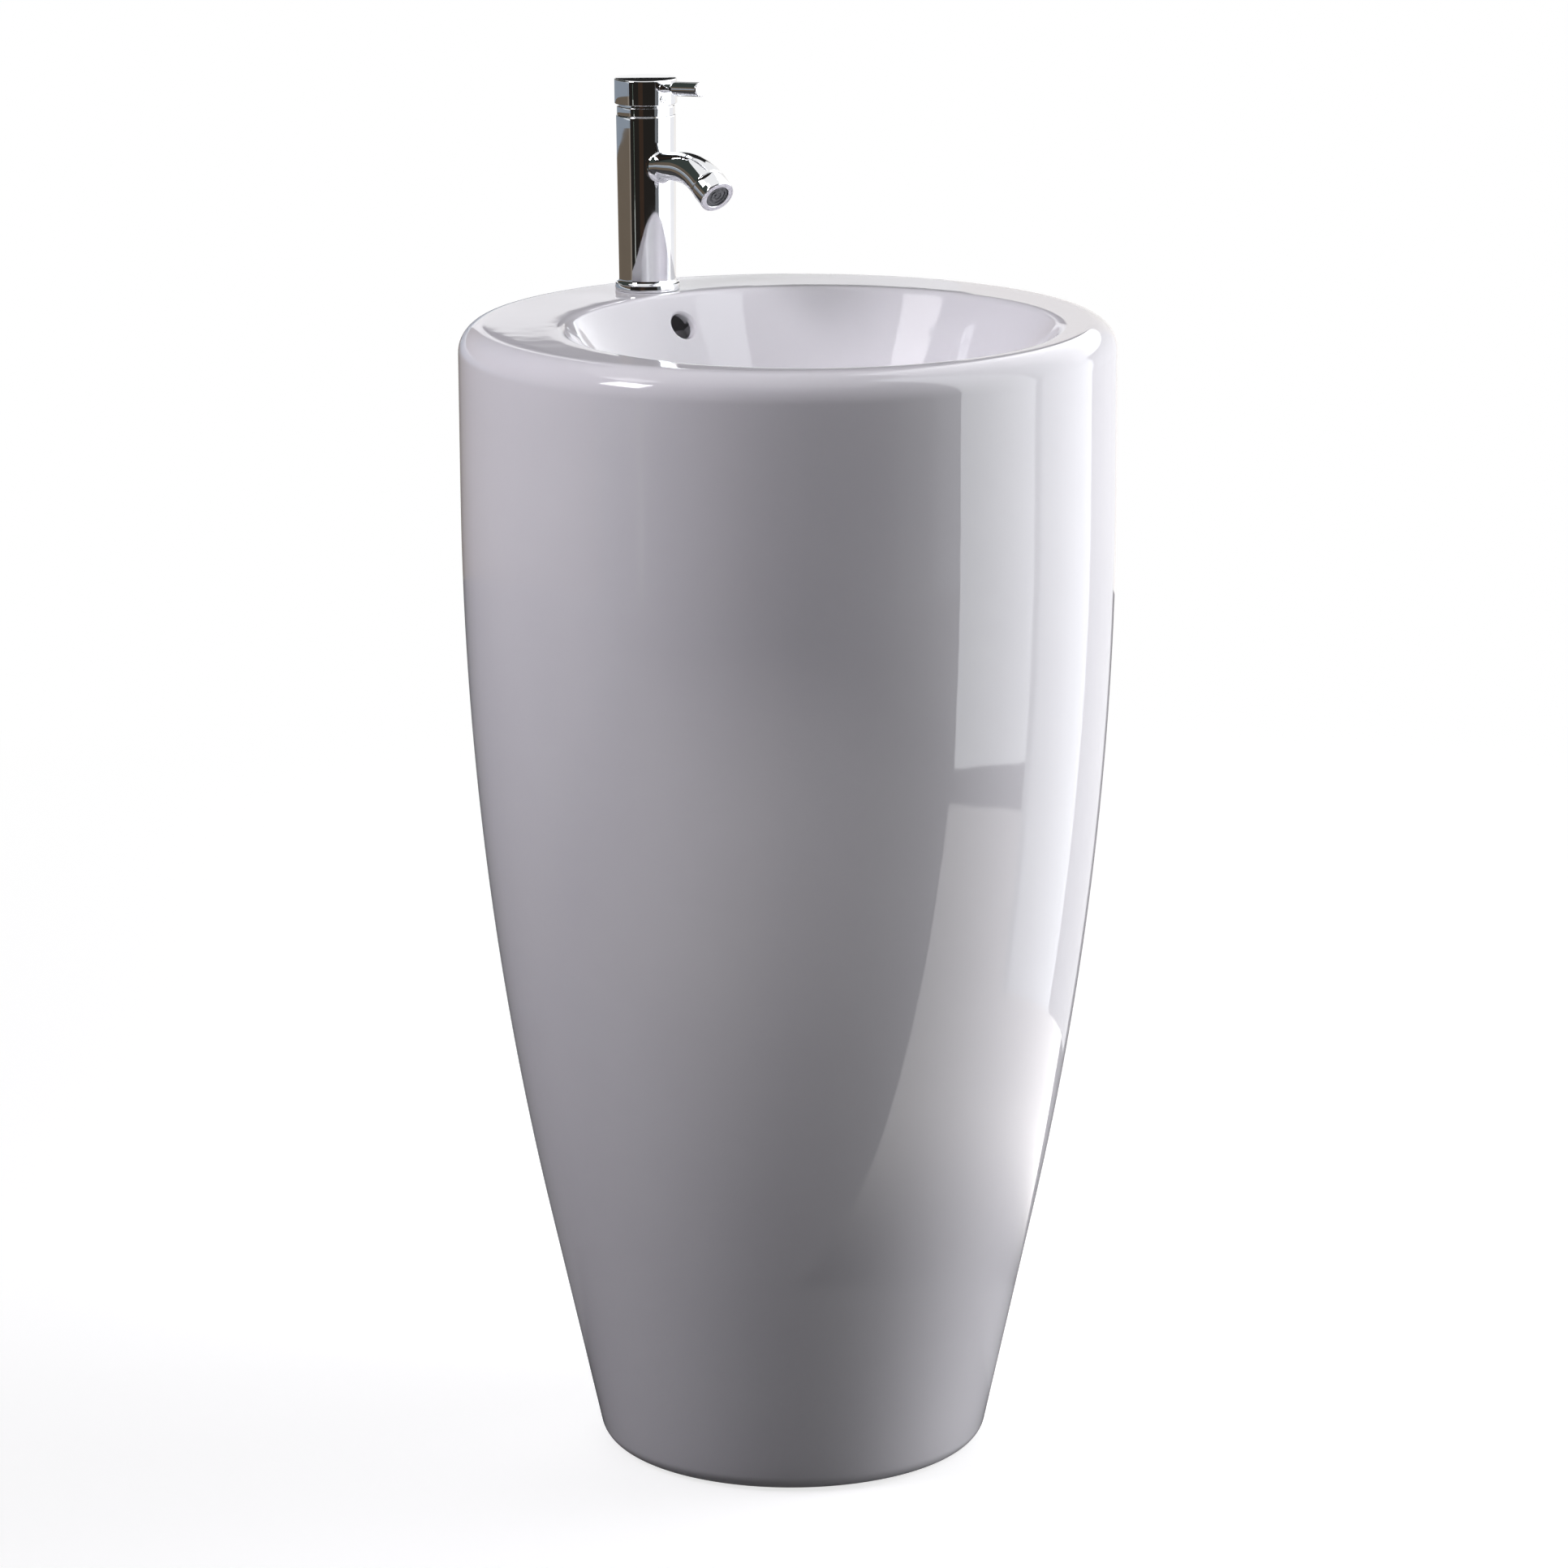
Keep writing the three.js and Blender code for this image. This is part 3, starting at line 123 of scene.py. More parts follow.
def mesh_of(rows, closed_rows=False):
    """A closed mesh between rings of points, some of which may be a single point."""
    verts, faces, index = [], [], []
    for row in rows:
        index.append(range(len(verts), len(verts) + len(row)))
        verts += [Vector(p) * MM for p in row]
    pairs = list(zip(index, index[1:]))
    if closed_rows:
        pairs.append((index[-1], index[0]))
    for a, b in pairs:
        for i in range(max(len(a), len(b))):
            j = i + 1
            quad = a[i % len(a)], b[i % len(b)], b[j % len(b)], a[j % len(a)]
            faces.append(tuple(dict.fromkeys(quad)))
    mesh = new_mesh("rings", verts, faces)
    mesh.validate()
    return outward(mesh)


def outward(mesh):
    """Turns a closed mesh the right way out."""
    volume = 0.0
    for face in mesh.polygons:
        points = [mesh.vertices[v].co for v in face.vertices]
        for a, b in zip(points[1:], points[2:]):
            volume += points[0].dot(a.cross(b))
    if volume < 0:
        mesh.flip_normals()
    return mesh


def circle(radius, z, count, y=0.0):
    """A level ring of points, or a single point at a pole."""
    if radius < POLE:
        return [(0.0, y, z)]
    return [(radius * cos(a), y + radius * sin(a), z) for a in between(0, 2 * pi, count)[:-1]]


def turned(outline, count=96, y=0.0, closed=False):
    """A mesh turned about Z from an (r, z) outline, which may be closed."""
    rows = [circle(max(r, 0.0), z, count, y) for r, z in outline]
    return mesh_of(rows, closed_rows=closed)


def solid(corners, steps=4, count=96, y=0.0):
    """A turned mesh whose corners start and end on the axis."""
    return turned(rounded(corners, steps, False), count, y)


def hollow(corners, steps=4, count=96):
    """A turned ring with a closed outline."""
    return turned(rounded(corners, steps), count, closed=True)


def bar(radius, low, high, count=48):
    """A round bar."""
    return turned([(0, low), (radius, low), (radius, high), (0, high)], count)


def prism(corners, low, high):
    """A prism along Z from a closed loop of (x, y) corners."""
    count = len(corners)
    verts = [Vector((x, y, z)) * MM for z in (low, high) for x, y in corners]
    faces = [tuple(reversed(range(count))), tuple(range(count, 2 * count))]
    faces += [(i, (i + 1) % count, count + (i + 1) % count, count + i) for i in range(count)]
    return outward(new_mesh("prism", verts, faces))


def block(width, length, height, x=0.0, y=0.0, z=0.0):
    """A box of these sizes about a middle point."""
    w, d, h = width / 2, length / 2, height / 2
    return prism([(x - w, y - d), (x + w, y - d), (x + w, y + d), (x - w, y + d)], z - h, z + h)


def moved(mesh, matrix):
    mesh.transform(matrix)
    return mesh


def shifted(mesh, x, y, z):
    return moved(mesh, Matrix.Translation(Vector((x, y, z)) * MM))


def spun(mesh, degrees):
    return moved(mesh, Matrix.Rotation(radians(degrees), 4, "Z"))


def aim(forward, up, y, z):
    """Turns what is built along +Z to a direction in the YZ plane."""
    along = Vector((0, -forward, up)).normalized()
    side = Vector((1, 0, 0))
    third = along.cross(side)
    matrix = Matrix((side, third, along)).transposed().to_4x4()
    matrix.translation = Vector((0, y, z)) * MM
    return matrix


def combined(first, operation, *tools):
    """A mesh joined with tools, cut by them, or kept only where they are."""
    base, *others = [new_object("solid", mesh) for mesh in (first, *tools)]
    for other in others:
        step = base.modifiers.new("step", "BOOLEAN")
        step.operation = operation
        step.solver = "MANIFOLD"
        step.object = other
    bpy.context.view_layer.update()
    graph = bpy.context.evaluated_depsgraph_get()
    mesh = bpy.data.meshes.new_from_object(base.evaluated_get(graph))
    for thing in (base, *others):
        bpy.data.objects.remove(thing)
    return mesh


def cut(mesh, *tools):
    return combined(mesh, "DIFFERENCE", *tools)


def joined(mesh, *tools):
    return combined(mesh, "UNION", *tools)


# ---- materials

def feed(tree, node, inputs):
    """Sets or links a shader node's inputs."""
    for name, value in inputs.items():
        if isinstance(value, bpy.types.NodeSocket):
            tree.links.new(value, node.inputs[name])
        else:
            node.inputs[name].default_value = value


def made(tree, kind, inputs, output=0, **settings):
    """An output of a new shader node with its inputs set or linked."""
    node = tree.nodes.new("ShaderNode" + kind)
    for name, value in settings.items():
        setattr(node, name, value)
    feed(tree, node, inputs)
    return node.outputs[output]


def new_material(name):
    material = bpy.data.materials.new(name)
    material.use_nodes = True
    return material, material.node_tree, material.node_tree.nodes["Principled BSDF"]


class Nodes:
    """Short names for the node calls of a material."""

    def __init__(self, name):
        self.material, self.tree, self.shader = new_material(name)
        self.where = made(self.tree, "TexCoord", {}, "Object")

    def noise(self, scale, detail=2.0, stretch=None):
        where = self.where
        if stretch:
            where = made(self.tree, "Mapping", {"Vector": where, "Scale": stretch})
        return made(self.tree, "TexNoise", {"Vector": where, "Scale": scale, "Detail": detail}, "Fac")

    def spread(self, value, low, high, start=0.0, end=1.0):
        places = {"From Min": start, "From Max": end, "To Min": low, "To Max": high}
        return made(self.tree, "MapRange", {"Value": value, **places})

    def colours(self, value, *stops):
        place = made(self.tree, "ValToRGB", {"Fac": value}, "Color")
        ramp = place.node.color_ramp
        for element, (position, colour) in zip(ramp.elements, stops):
            element.position = position
            element.color = (*colour, 1)
        return place

    def mixed(self, share, first, second):
        inputs = {"Factor": share, "A": first, "B": second}
        return made(self.tree, "Mix", inputs, "Result", data_type="RGBA")

    def math(self, operation, first, second):
        return made(self.tree, "Math", {0: first, 1: second}, operation=operation)

    def height(self):
        return made(self.tree, "SeparateXYZ", {"Vector": self.where}, "Z")

    def bump(self, value, strength, distance):
        inputs = {"Height": value, "Strength": strength, "Distance": distance}
        self.link(made(self.tree, "Bump", inputs), "Normal")

    def link(self, value, socket):
        feed(self.tree, self.shader, {socket: value})

    def set(self, **values):
        feed(self.tree, self.shader, values)


def glazed_ceramic():
    """White glaze that ends a millimetre above the floor, on bare biscuit."""
    m = Nodes("glazed_ceramic")
    cloud = m.noise(9.0, 3.0)
    glaze = m.colours(cloud, (0.3, (0.845, 0.838, 0.862)), (0.7, (0.872, 0.866, 0.886)))
    grain = m.noise(900.0, 3.0)
    biscuit = m.colours(grain, (0.3, (0.62, 0.58, 0.52)), (0.7, (0.72, 0.68, 0.62)))
    waver = m.spread(m.noise(60.0), -0.0006, 0.0006)
    bare = m.spread(m.math("ADD", m.height(), waver), 1.0, 0.0, start=0.0008, end=0.0016)
    m.link(m.mixed(bare, glaze, biscuit), "Base Color")
    polish = m.spread(cloud, 0.025, 0.05)
    m.link(m.math("ADD", polish, m.math("MULTIPLY", bare, 0.7)), "Roughness")
    ripple = m.math("ADD", m.noise(38.0, 1.0), m.math("MULTIPLY", m.noise(420.0, 1.0), 0.06))
    m.bump(ripple, 0.05, 0.0009)
    m.set(IOR=1.5)
    return m.material


def chrome():
    """Polished plating, hardly rippled."""
    m = Nodes("chrome")
    cloud = m.noise(40.0, 3.0)
    m.link(m.colours(cloud, (0.3, (0.80, 0.81, 0.83)), (0.7, (0.86, 0.865, 0.88))), "Base Color")
    m.link(m.spread(m.noise(160.0, 4.0), 0.018, 0.055), "Roughness")
    m.bump(m.noise(55.0, 1.0), 0.05, 0.0004)
    m.set(Metallic=1.0)
    return m.material


def turned_metal(name, dark, light, low, high):
    """Bare metal with fine turning marks."""
    m = Nodes(name)
    rings = m.noise(500.0, 2.0, stretch=(0.15, 0.15, 4.0))
    m.link(m.colours(m.noise(120.0, 4.0), (0.3, dark), (0.7, light)), "Base Color")
    m.link(m.spread(rings, low, high), "Roughness")
    m.bump(rings, 0.08, 0.0004)
    m.set(Metallic=1.0)
    return m.material


def moulded(name, dark, light, low, high):
    """Rubber, plastic or fine ceramic with a fine grain."""
    m = Nodes(name)
    m.link(m.colours(m.noise(70.0, 3.0), (0.3, dark), (0.7, light)), "Base Color")
    m.link(m.spread(m.noise(220.0, 3.0), low, high), "Roughness")
    m.bump(m.noise(700.0, 2.0), 0.12, 0.0003)
    m.set(IOR=1.5)
    return m.material


materials = {
    "glazed_ceramic": glazed_ceramic(),
    "chrome": chrome(),
    "brass": turned_metal("brass", (0.62, 0.44, 0.17), (0.75, 0.56, 0.26), 0.22, 0.42),
    "steel": turned_metal("steel", (0.46, 0.47, 0.48), (0.6, 0.61, 0.62), 0.26, 0.46),
    "rubber": moulded("rubber", (0.012, 0.012, 0.013), (0.03, 0.03, 0.032), 0.6, 0.85),
    "white_plastic": moulded("white_plastic", (0.78, 0.78, 0.77), (0.84, 0.84, 0.83), 0.3, 0.42),
    "grey_plastic": moulded("grey_plastic", (0.10, 0.105, 0.11), (0.15, 0.155, 0.16), 0.35, 0.5),
    "disc_ceramic": moulded("disc_ceramic", (0.74, 0.7, 0.64), (0.82, 0.78, 0.72), 0.12, 0.2),
}


def show(node, mesh, sharp=40):
    """Puts a finished mesh in place of a CAD node, on its body."""
    mesh.name = node
    mesh.shade_smooth()
    mesh.set_sharp_from_angle(angle=radians(sharp))
    mesh.materials.clear()
    mesh.materials.append(materials[slot_of_node[node]])
    piece = new_object(node + "_fine", mesh)
    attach(piece, body_of_node[node])
    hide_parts(node)


# ---- basin

FINE = 240
FOOT_RADIUS, FOOT_ROUND, FOOT_RING = 142.5, 15.6, 110.0
TAPER, TAPER_HEIGHT, BELLY_HEIGHT = radians(12.33), 180.0, 720.0
RIM_RADIUS, RIM_ROUND = 240.0, 21.0
BOWL_RADIUS, BOWL_SLOPE, FLOOR_SLOPE = 185.0, radians(35), radians(4)
BOWL_FILLET, BOWL_FLOOR, LIP_ROUND = 70.0, 722.0, 8.0
SEAT_RADIUS, SEAT_HEIGHT, DRAIN_RADIUS = 33.5, 718.8, 23.0
BOSS_RADIUS, BOSS_BOTTOM, BOSS_TOP = 42.0, 682.8, 730.0
WALL, BOWL_WALL, DECK, BOWL_WALL_DEPTH = 12.0, 11.0, 14.0, 7.0
LEDGE, LEDGE_LOW, LEDGE_HIGH = 25.0, 22.0, 44.0
TAP_HOLE = 17.5
DUCT_DEPTH = 25 - 10 * cos(BOWL_SLOPE)
HOLE_RADIUS, HOLE_EDGE, HOLE_DEPTH, HOLE_TILT = 9.6, 2.6, 22.4, radians(12)
OPENING_HALF, OPENING_LOW, OPENING_HIGH, OPENING_EDGE = 85.0, 330.0, 660.0, 4.0
LIP_END = (BOWL_RADIUS - LIP_ROUND * cos(BOWL_SLOPE),
           RIM_HEIGHT - LIP_ROUND + LIP_ROUND * sin(BOWL_SLOPE))


def side_outline(inset, steps):
    """The pedestal's curved side from the cone up to the belly."""
    slope = tan(TAPER)
    start = (FOOT_RADIUS + TAPER_HEIGHT * slope - inset / cos(TAPER), TAPER_HEIGHT)
    meet = (RIM_RADIUS - inset, (RIM_RADIUS - FOOT_RADIUS) / slope)
    end = (RIM_RADIUS - inset, BELLY_HEIGHT)
    return [tuple((1 - t) ** 2 * a + 2 * t * (1 - t) * b + t * t * c
                  for a, b, c in zip(start, meet, end)) for t in between(0, 1, steps)]


def fillet_centre():
    """Centre of the fillet between the bowl's wall and floor."""
    above = BOWL_FLOOR + BOWL_FILLET / cos(FLOOR_SLOPE)
    across = LIP_END[0] * cos(BOWL_SLOPE) - BOWL_FILLET
    down = (above - LIP_END[1]) * sin(BOWL_SLOPE)
    r = (across + down) / (cos(BOWL_SLOPE) - tan(FLOOR_SLOPE) * sin(BOWL_SLOPE))
    return r, above + r * tan(FLOOR_SLOPE)


BEND = fillet_centre()


def wall_point(depth, outward=0.0):
    """A point of the bowl's wall at a depth under the rim, or that far outside it."""
    along = (depth - (RIM_HEIGHT - LIP_END[1])) / cos(BOWL_SLOPE)
    return (LIP_END[0] - along * sin(BOWL_SLOPE) + outward * cos(BOWL_SLOPE),
            LIP_END[1] - along * cos(BOWL_SLOPE) - outward * sin(BOWL_SLOPE))


def bowl_section(outward, depth, steps):
    """The wall from a depth under the rim, then the fillet, that far outside."""
    bend = arc(BEND, BOWL_FILLET + outward, -BOWL_SLOPE, FLOOR_SLOPE - pi / 2, steps)
    return [wall_point(depth, outward), *bend]


def outside_outline():
    """From the middle of the underside, round the foot and up to the shoulder."""
    inward = FOOT_RADIUS + FOOT_ROUND * tan(TAPER) - FOOT_ROUND / cos(TAPER)
    foot = arc((inward, FOOT_ROUND), FOOT_ROUND, -pi / 2, -TAPER, 12)
    middle = (RIM_RADIUS - RIM_ROUND, RIM_HEIGHT - RIM_ROUND)
    shoulder = arc(middle, RIM_ROUND, 0, pi / 2, 18)
    side = dense([foot[-1], *side_outline(0, 30)], 24)[1:]
    upright = dense([side[-1], shoulder[0]], 24)[1:-1]
    return [(0, 0), (FOOT_RING, 0), *foot, *side, *upright, *shoulder]


def bowl_outline():
    """Over the lip, down the bowl's wall and into the seat and the drain."""
    lip = arc((BOWL_RADIUS, RIM_HEIGHT - LIP_ROUND), LIP_ROUND, pi / 2, pi - BOWL_SLOPE, 10)
    section = dense(bowl_section(0, RIM_HEIGHT - LIP_END[1], 24), 8)[1:]
    edge = BOWL_FLOOR + SEAT_RADIUS * tan(FLOOR_SLOPE)
    seat = rounded([
        section[-1], (SEAT_RADIUS, edge, 1.6), (SEAT_RADIUS, SEAT_HEIGHT, 0.8),
        (DRAIN_RADIUS, SEAT_HEIGHT, 1.0), (DRAIN_RADIUS, BOSS_BOTTOM - PAST),
        (0, BOSS_BOTTOM - PAST),
    ], 5, False)[1:]
    return [*lip, *section, *seat]


def basin_block():
    """The outside, the rim and the bowl as one closed run of rings."""
    rows = [circle(r, z, FINE) for r, z in outside_outline()]
    outer = rows[-1]
    inner = circle(BOWL_RADIUS, RIM_HEIGHT, FINE, -BOWL_FORWARD)
    for share in between(0, 1, 5)[1:-1]:
        rows.append([tuple(Vector(a).lerp(Vector(b), share)) for a, b in zip(outer, inner)])
    rows += [circle(r, z, FINE, -BOWL_FORWARD) for r, z in bowl_outline()]
    return mesh_of(rows)


def cavity_tool():
    """The pedestal's cavity, less the bowl's outside and its boss."""
    opening, roof = FOOT_RADIUS - FOOT_ROUND - LEDGE, RIM_HEIGHT - DECK
    ledge = (FOOT_RADIUS + LEDGE_HIGH * tan(TAPER) - WALL / cos(TAPER), LEDGE_HIGH, 14)
    foot = rounded([(0, -PAST), (opening, -PAST), (opening, LEDGE_LOW, 8), ledge], 4, False)
    side = side_outline(WALL, 20)
    top = rounded([side[-1], (RIM_RADIUS - WALL, roof, 10), (0, roof)], 5, False)[1:]
    cavity = turned([*foot, *side, *top], 144)
    under = bowl_section(BOWL_WALL, BOWL_WALL_DEPTH, 16)
    shell = turned([(0, under[0][1]), *under, (0, BOWL_FLOOR - BOWL_WALL)], 144, -BOWL_FORWARD)
    boss = solid([
        (0, BOSS_BOTTOM), (BOSS_RADIUS, BOSS_BOTTOM, 2), (BOSS_RADIUS, BOSS_TOP), (0, BOSS_TOP),
    ], y=-BOWL_FORWARD)
    return cut(cavity, shell, boss, duct(5.5, 29, 44))


def duct(inner, outer, width):
    """A strip along the bowl's rear section, between two depths in its wall."""
    def run(depth):
        section = bowl_section(depth, DUCT_DEPTH, 12)
        return [*section, (0, BOWL_FLOOR - depth / cos(FLOOR_SLOPE))]

    strip = prism([*run(inner), *reversed(run(outer))], -width / 2, width / 2)
    across = Matrix(((0, 0, 1), (1, 0, 0), (0, 1, 0))).to_4x4()
    return shifted(moved(strip, across), 0, -BOWL_FORWARD, 0)


def overflow_tool():
    """A nearly level drill whose flared edge follows the bowl's wall."""
    count, near, far = 72, -17, 6
    along = Vector((0, -cos(HOLE_TILT), sin(HOLE_TILT)))
    side = Vector((1, 0, 0))
    third = along.cross(side)
    mouth = Vector((0, *wall_point(HOLE_DEPTH)))
    flare = HOLE_RADIUS + HOLE_EDGE

    def to_wall(spot):
        """How far along the drill the bowl's cone lies, by repeated steps."""
        t = 0.0
        for _ in range(12):
            p = spot + along * t
            wall = LIP_END[0] - (LIP_END[1] - p.z) * tan(BOWL_SLOPE)
            t -= (wall - hypot(p.x, p.y)) * cos(BOWL_SLOPE)
        return t

    edge = arc((flare, -HOLE_EDGE), HOLE_EDGE, pi, pi / 2, 8)
    rows = []
    for r, depth in [(0, near), (HOLE_RADIUS, near), *edge, (flare, far), (0, far)]:
        ring = []
        for a in between(0, 2 * pi, count)[:-1] if r else [0]:
            out = side * cos(a) + third * sin(a)
            follow = to_wall(mouth + out * flare) if r and depth > near else 0.0
            p = mouth + out * r + along * (depth + follow)
            ring.append((p.x, p.y - BOWL_FORWARD, p.z))
        rows.append(ring)
    return mesh_of(rows)


def side_radius(z, inset):
    """Radius of the pedestal's side at a height."""
    points = side_outline(inset, 60)
    if z <= points[0][1]:
        return points[0][0] - (points[0][1] - z) * tan(TAPER)
    for (r0, z0), (r1, z1) in zip(points, points[1:]):
        if z <= z1:
            return r0 + (r1 - r0) * (z - z0) / (z1 - z0)
    return points[-1][0]


def opening_line():
    """The rear opening's round-ended outline in (x, z), with its outward normals."""
    half, low, high = OPENING_HALF, OPENING_LOW + OPENING_HALF, OPENING_HIGH - OPENING_HALF
    count, parts = 36, 10
    right = [(half, z) for z in between(low, high, parts)[1:-1]]
    left = [(-x, z) for x, z in reversed(right)]
    top, bottom = arc((0, high), half, 0, pi, count), arc((0, low), half, pi, 2 * pi, count)
    line = [*top, *left, *bottom, *right]
    normals = []
    for i in range(len(line)):
        (ax, az), (bx, bz) = line[i - 1], line[(i + 1) % len(line)]
        normals.append(Vector((bz - az, ax - bx)).normalized())
    return line, normals


def service_tool():
    """The rear opening, with its edges rounded over."""
    line, normals = opening_line()
    edge, outside, inside = OPENING_EDGE, 60, -20

    def ring(grow, inset, depth):
        out = []
        for (x, z), n in zip(line, normals):
            across, up = x + n.x * edge, z + n.y * edge
            face = sqrt(side_radius(up, inset) ** 2 - across ** 2)
            out.append((x + n.x * grow, face + depth, z + n.y * grow))
        return out

    def middle(row):
        return [tuple(sum(p[i] for p in row) / len(row) for i in range(3))]

    quarter = between(0, pi / 2, 8)
    rows = [ring(edge, 0, outside)]
    rows += [ring(edge - edge * sin(a), 0, edge * cos(a) - edge) for a in quarter]
    rows += [ring(edge - edge * cos(a), WALL, edge - edge * sin(a)) for a in quarter]
    rows += [ring(edge, WALL, inside)]
    return mesh_of([middle(rows[0]), *rows, middle(rows[-1])])


def make_basin():
    low, high = RIM_HEIGHT - 30, RIM_HEIGHT + 10
    tap_hole = turned([(0, low), (TAP_HOLE, low), (TAP_HOLE, high), (0, high)], 72, TAP_BACK)
    mesh = cut(basin_block(), cavity_tool(), tap_hole, duct(6.5, 22, 30), overflow_tool(),
               service_tool())
    show("basin", mesh, sharp=38)


make_basin()


# ---- mixer tap

TAP = Matrix.Translation(Vector((0, TAP_BACK, RIM_HEIGHT)) * MM)
TAP_TOP, TAP_HEIGHT, TAP_EDGE, GAP = 22.3, 131.5, 0.6, 0.2
BASE_RADIUS, BASE_EDGE, BASE_SHOULDER, FLARE_TOP, FLARE_ROUND = 24.4, 2.6, (23.85, 5.0), 8.5, 3.1
SPIGOT_RADIUS, SPIGOT_LENGTH = 16.5, 8.0
SEAL_INNER, SEAL_OUTER, SEAL_GROOVE = 18.15, 22.75, 2.05
NUT_BORE, NUT_SEAT, VALVE_BORE, VALVE_SEAT = 18.95, 126.0, 17.65, 102.3
ROOT_RADIUS, SPOUT_SINK = 21.95, 4.0
SPOUT_START, SPOUT_RISE, SPOUT_DROP = 93.7, radians(4), radians(33)
SPOUT_STRAIGHT, SPOUT_BEND = 45.5, 60.0
SPOUT_ROOT, SPOUT_TIP, BLEND, BLEND_RISE = 9.8, 13.3, 7.0, 3.4
SPOUT_EDGE = 0.4
SOCKET_RADIUS, SOCKET_DEPTH, WATER_RADIUS, WATER_DEPTH = 9.55, 8.4, 6.5, 22.0
TIP_RADIUS, TIP_LENGTH, TIP_BORE = 13.4, 14.0, 9.1
NECK_RADIUS, NECK_BORE, NECK_LENGTH = 9.3, 8.0, 7.0
FLAT_DEPTH, FLAT_LENGTH, FLAT_TURN = 1.7, 7.5, 127
INSERT_RADIUS, INSERT_FACE, INSERT_BACK = 8.85, -1.2, -11.0
SPOUT_RUN = SPOUT_STRAIGHT / cos(SPOUT_RISE)
SPOUT_LENGTH = SPOUT_RUN + SPOUT_BEND * (SPOUT_RISE + SPOUT_DROP) + TIP_LENGTH
SPOUT_END = SPOUT_LENGTH - TIP_LENGTH - GAP


def spout_point(distance):
    """Reach, height and slope at a distance along the spout's centre line."""
    if distance <= SPOUT_RUN:
        return distance * cos(SPOUT_RISE), SPOUT_START + distance * sin(SPOUT_RISE), SPOUT_RISE
    swept = min((distance - SPOUT_RUN) / SPOUT_BEND, SPOUT_RISE + SPOUT_DROP)
    angle = SPOUT_RISE - swept
    rest = distance - SPOUT_RUN - swept * SPOUT_BEND
    start = SPOUT_START + SPOUT_RUN * sin(SPOUT_RISE)
    return (SPOUT_STRAIGHT + SPOUT_BEND * (sin(SPOUT_RISE) - sin(angle)) + rest * cos(angle),
            start + SPOUT_BEND * (cos(angle) - cos(SPOUT_RISE)) + rest * sin(angle), angle)


def root_shift(side, distance):
    """How far a point beside the centre line moves back to follow the round body."""
    fade = min(max((SPOUT_RUN - distance) / (SPOUT_RUN - ROOT_RADIUS), 0), 1)
    return fade * (ROOT_RADIUS - sqrt(ROOT_RADIUS ** 2 - side ** 2))


def on_spout(radius, distance, turn):
    """A point at a radius and a turn round the centre line."""
    x, up = radius * cos(turn), radius * sin(turn)
    reach, height, angle = spout_point(distance - root_shift(x, distance))
    return (x, -(reach - up * sin(angle)), height + up * cos(angle))


def make_spout():
    """The spout, with a fillet all the way round its root."""
    count, fillet_rows, rows_out = 128, 14, 56
    start = ROOT_RADIUS - 0.15

    def plain(distance):
        return SPOUT_ROOT + (SPOUT_TIP - SPOUT_ROOT) * (distance - start) / (SPOUT_END - start)

    def ring(radius, distance):
        return [on_spout(radius, distance, a) for a in between(0, 2 * pi, count)[:-1]]

    rows = [[on_spout(0, start - SPOUT_SINK, 0)]]
    rows.append(ring(SPOUT_ROOT + BLEND_RISE, start - SPOUT_SINK))
    for turn in between(0, pi / 2, fillet_rows):
        distance = start + BLEND * (1 - cos(turn))
        rows.append(ring(plain(distance) + BLEND_RISE * (1 - sin(turn)), distance))
    begin = start + BLEND
    for distance in between(begin, SPOUT_END - SPOUT_EDGE, rows_out)[1:]:
        rows.append(ring(plain(distance), distance))
    half_edge = 0.3 * SPOUT_EDGE
    rows.append(ring(SPOUT_TIP - half_edge, SPOUT_END - half_edge))
    rows.append(ring(SPOUT_TIP - SPOUT_EDGE, SPOUT_END))
    for radius, depth in ((SOCKET_RADIUS, 0), (SOCKET_RADIUS, SOCKET_DEPTH),
                          (WATER_RADIUS, SOCKET_DEPTH), (WATER_RADIUS, WATER_DEPTH)):
        rows.append(ring(radius, SPOUT_END - depth))
    rows.append([on_spout(0, SPOUT_END - WATER_DEPTH, 0)])
    return mesh_of(rows)


def make_tap_body():
    """Spigot, seal groove, flared foot, tapering body with its bores, and spout."""
    outline = rounded([
        (0, -SPIGOT_LENGTH), (SPIGOT_RADIUS, -SPIGOT_LENGTH, 0.5), (SPIGOT_RADIUS, GAP),
        (SEAL_INNER, GAP), (SEAL_INNER, SEAL_GROOVE), (SEAL_OUTER, SEAL_GROOVE), (SEAL_OUTER, GAP),
        (BASE_RADIUS, GAP, 0.6), (BASE_RADIUS, BASE_EDGE, 0.7),
    ], 5, False)
    flare = arc((BASE_RADIUS, FLARE_TOP), FLARE_ROUND, pi * 1.5, pi, 10)
    outline += [BASE_SHOULDER, *flare]
    outline += dense([flare[-1], (TAP_TOP, TAP_HEIGHT - TAP_EDGE)], 8)[1:-1]
    outline += rounded([
        outline[-1], (TAP_TOP, TAP_HEIGHT, TAP_EDGE), (NUT_BORE, TAP_HEIGHT, 0.3),
        (NUT_BORE, NUT_SEAT), (VALVE_BORE, NUT_SEAT), (VALVE_BORE, VALVE_SEAT), (0, VALVE_SEAT),
    ], 4, False)[1:]
    body = joined(turned(outline, 160), make_spout())
    show("tap_body", moved(body, TAP))


def at_tip(mesh):
    """Moves what is built along +Z to the spout's mouth."""
    reach, height, angle = spout_point(SPOUT_LENGTH)
    return moved(mesh, TAP @ aim(cos(angle), sin(angle), -reach, height))


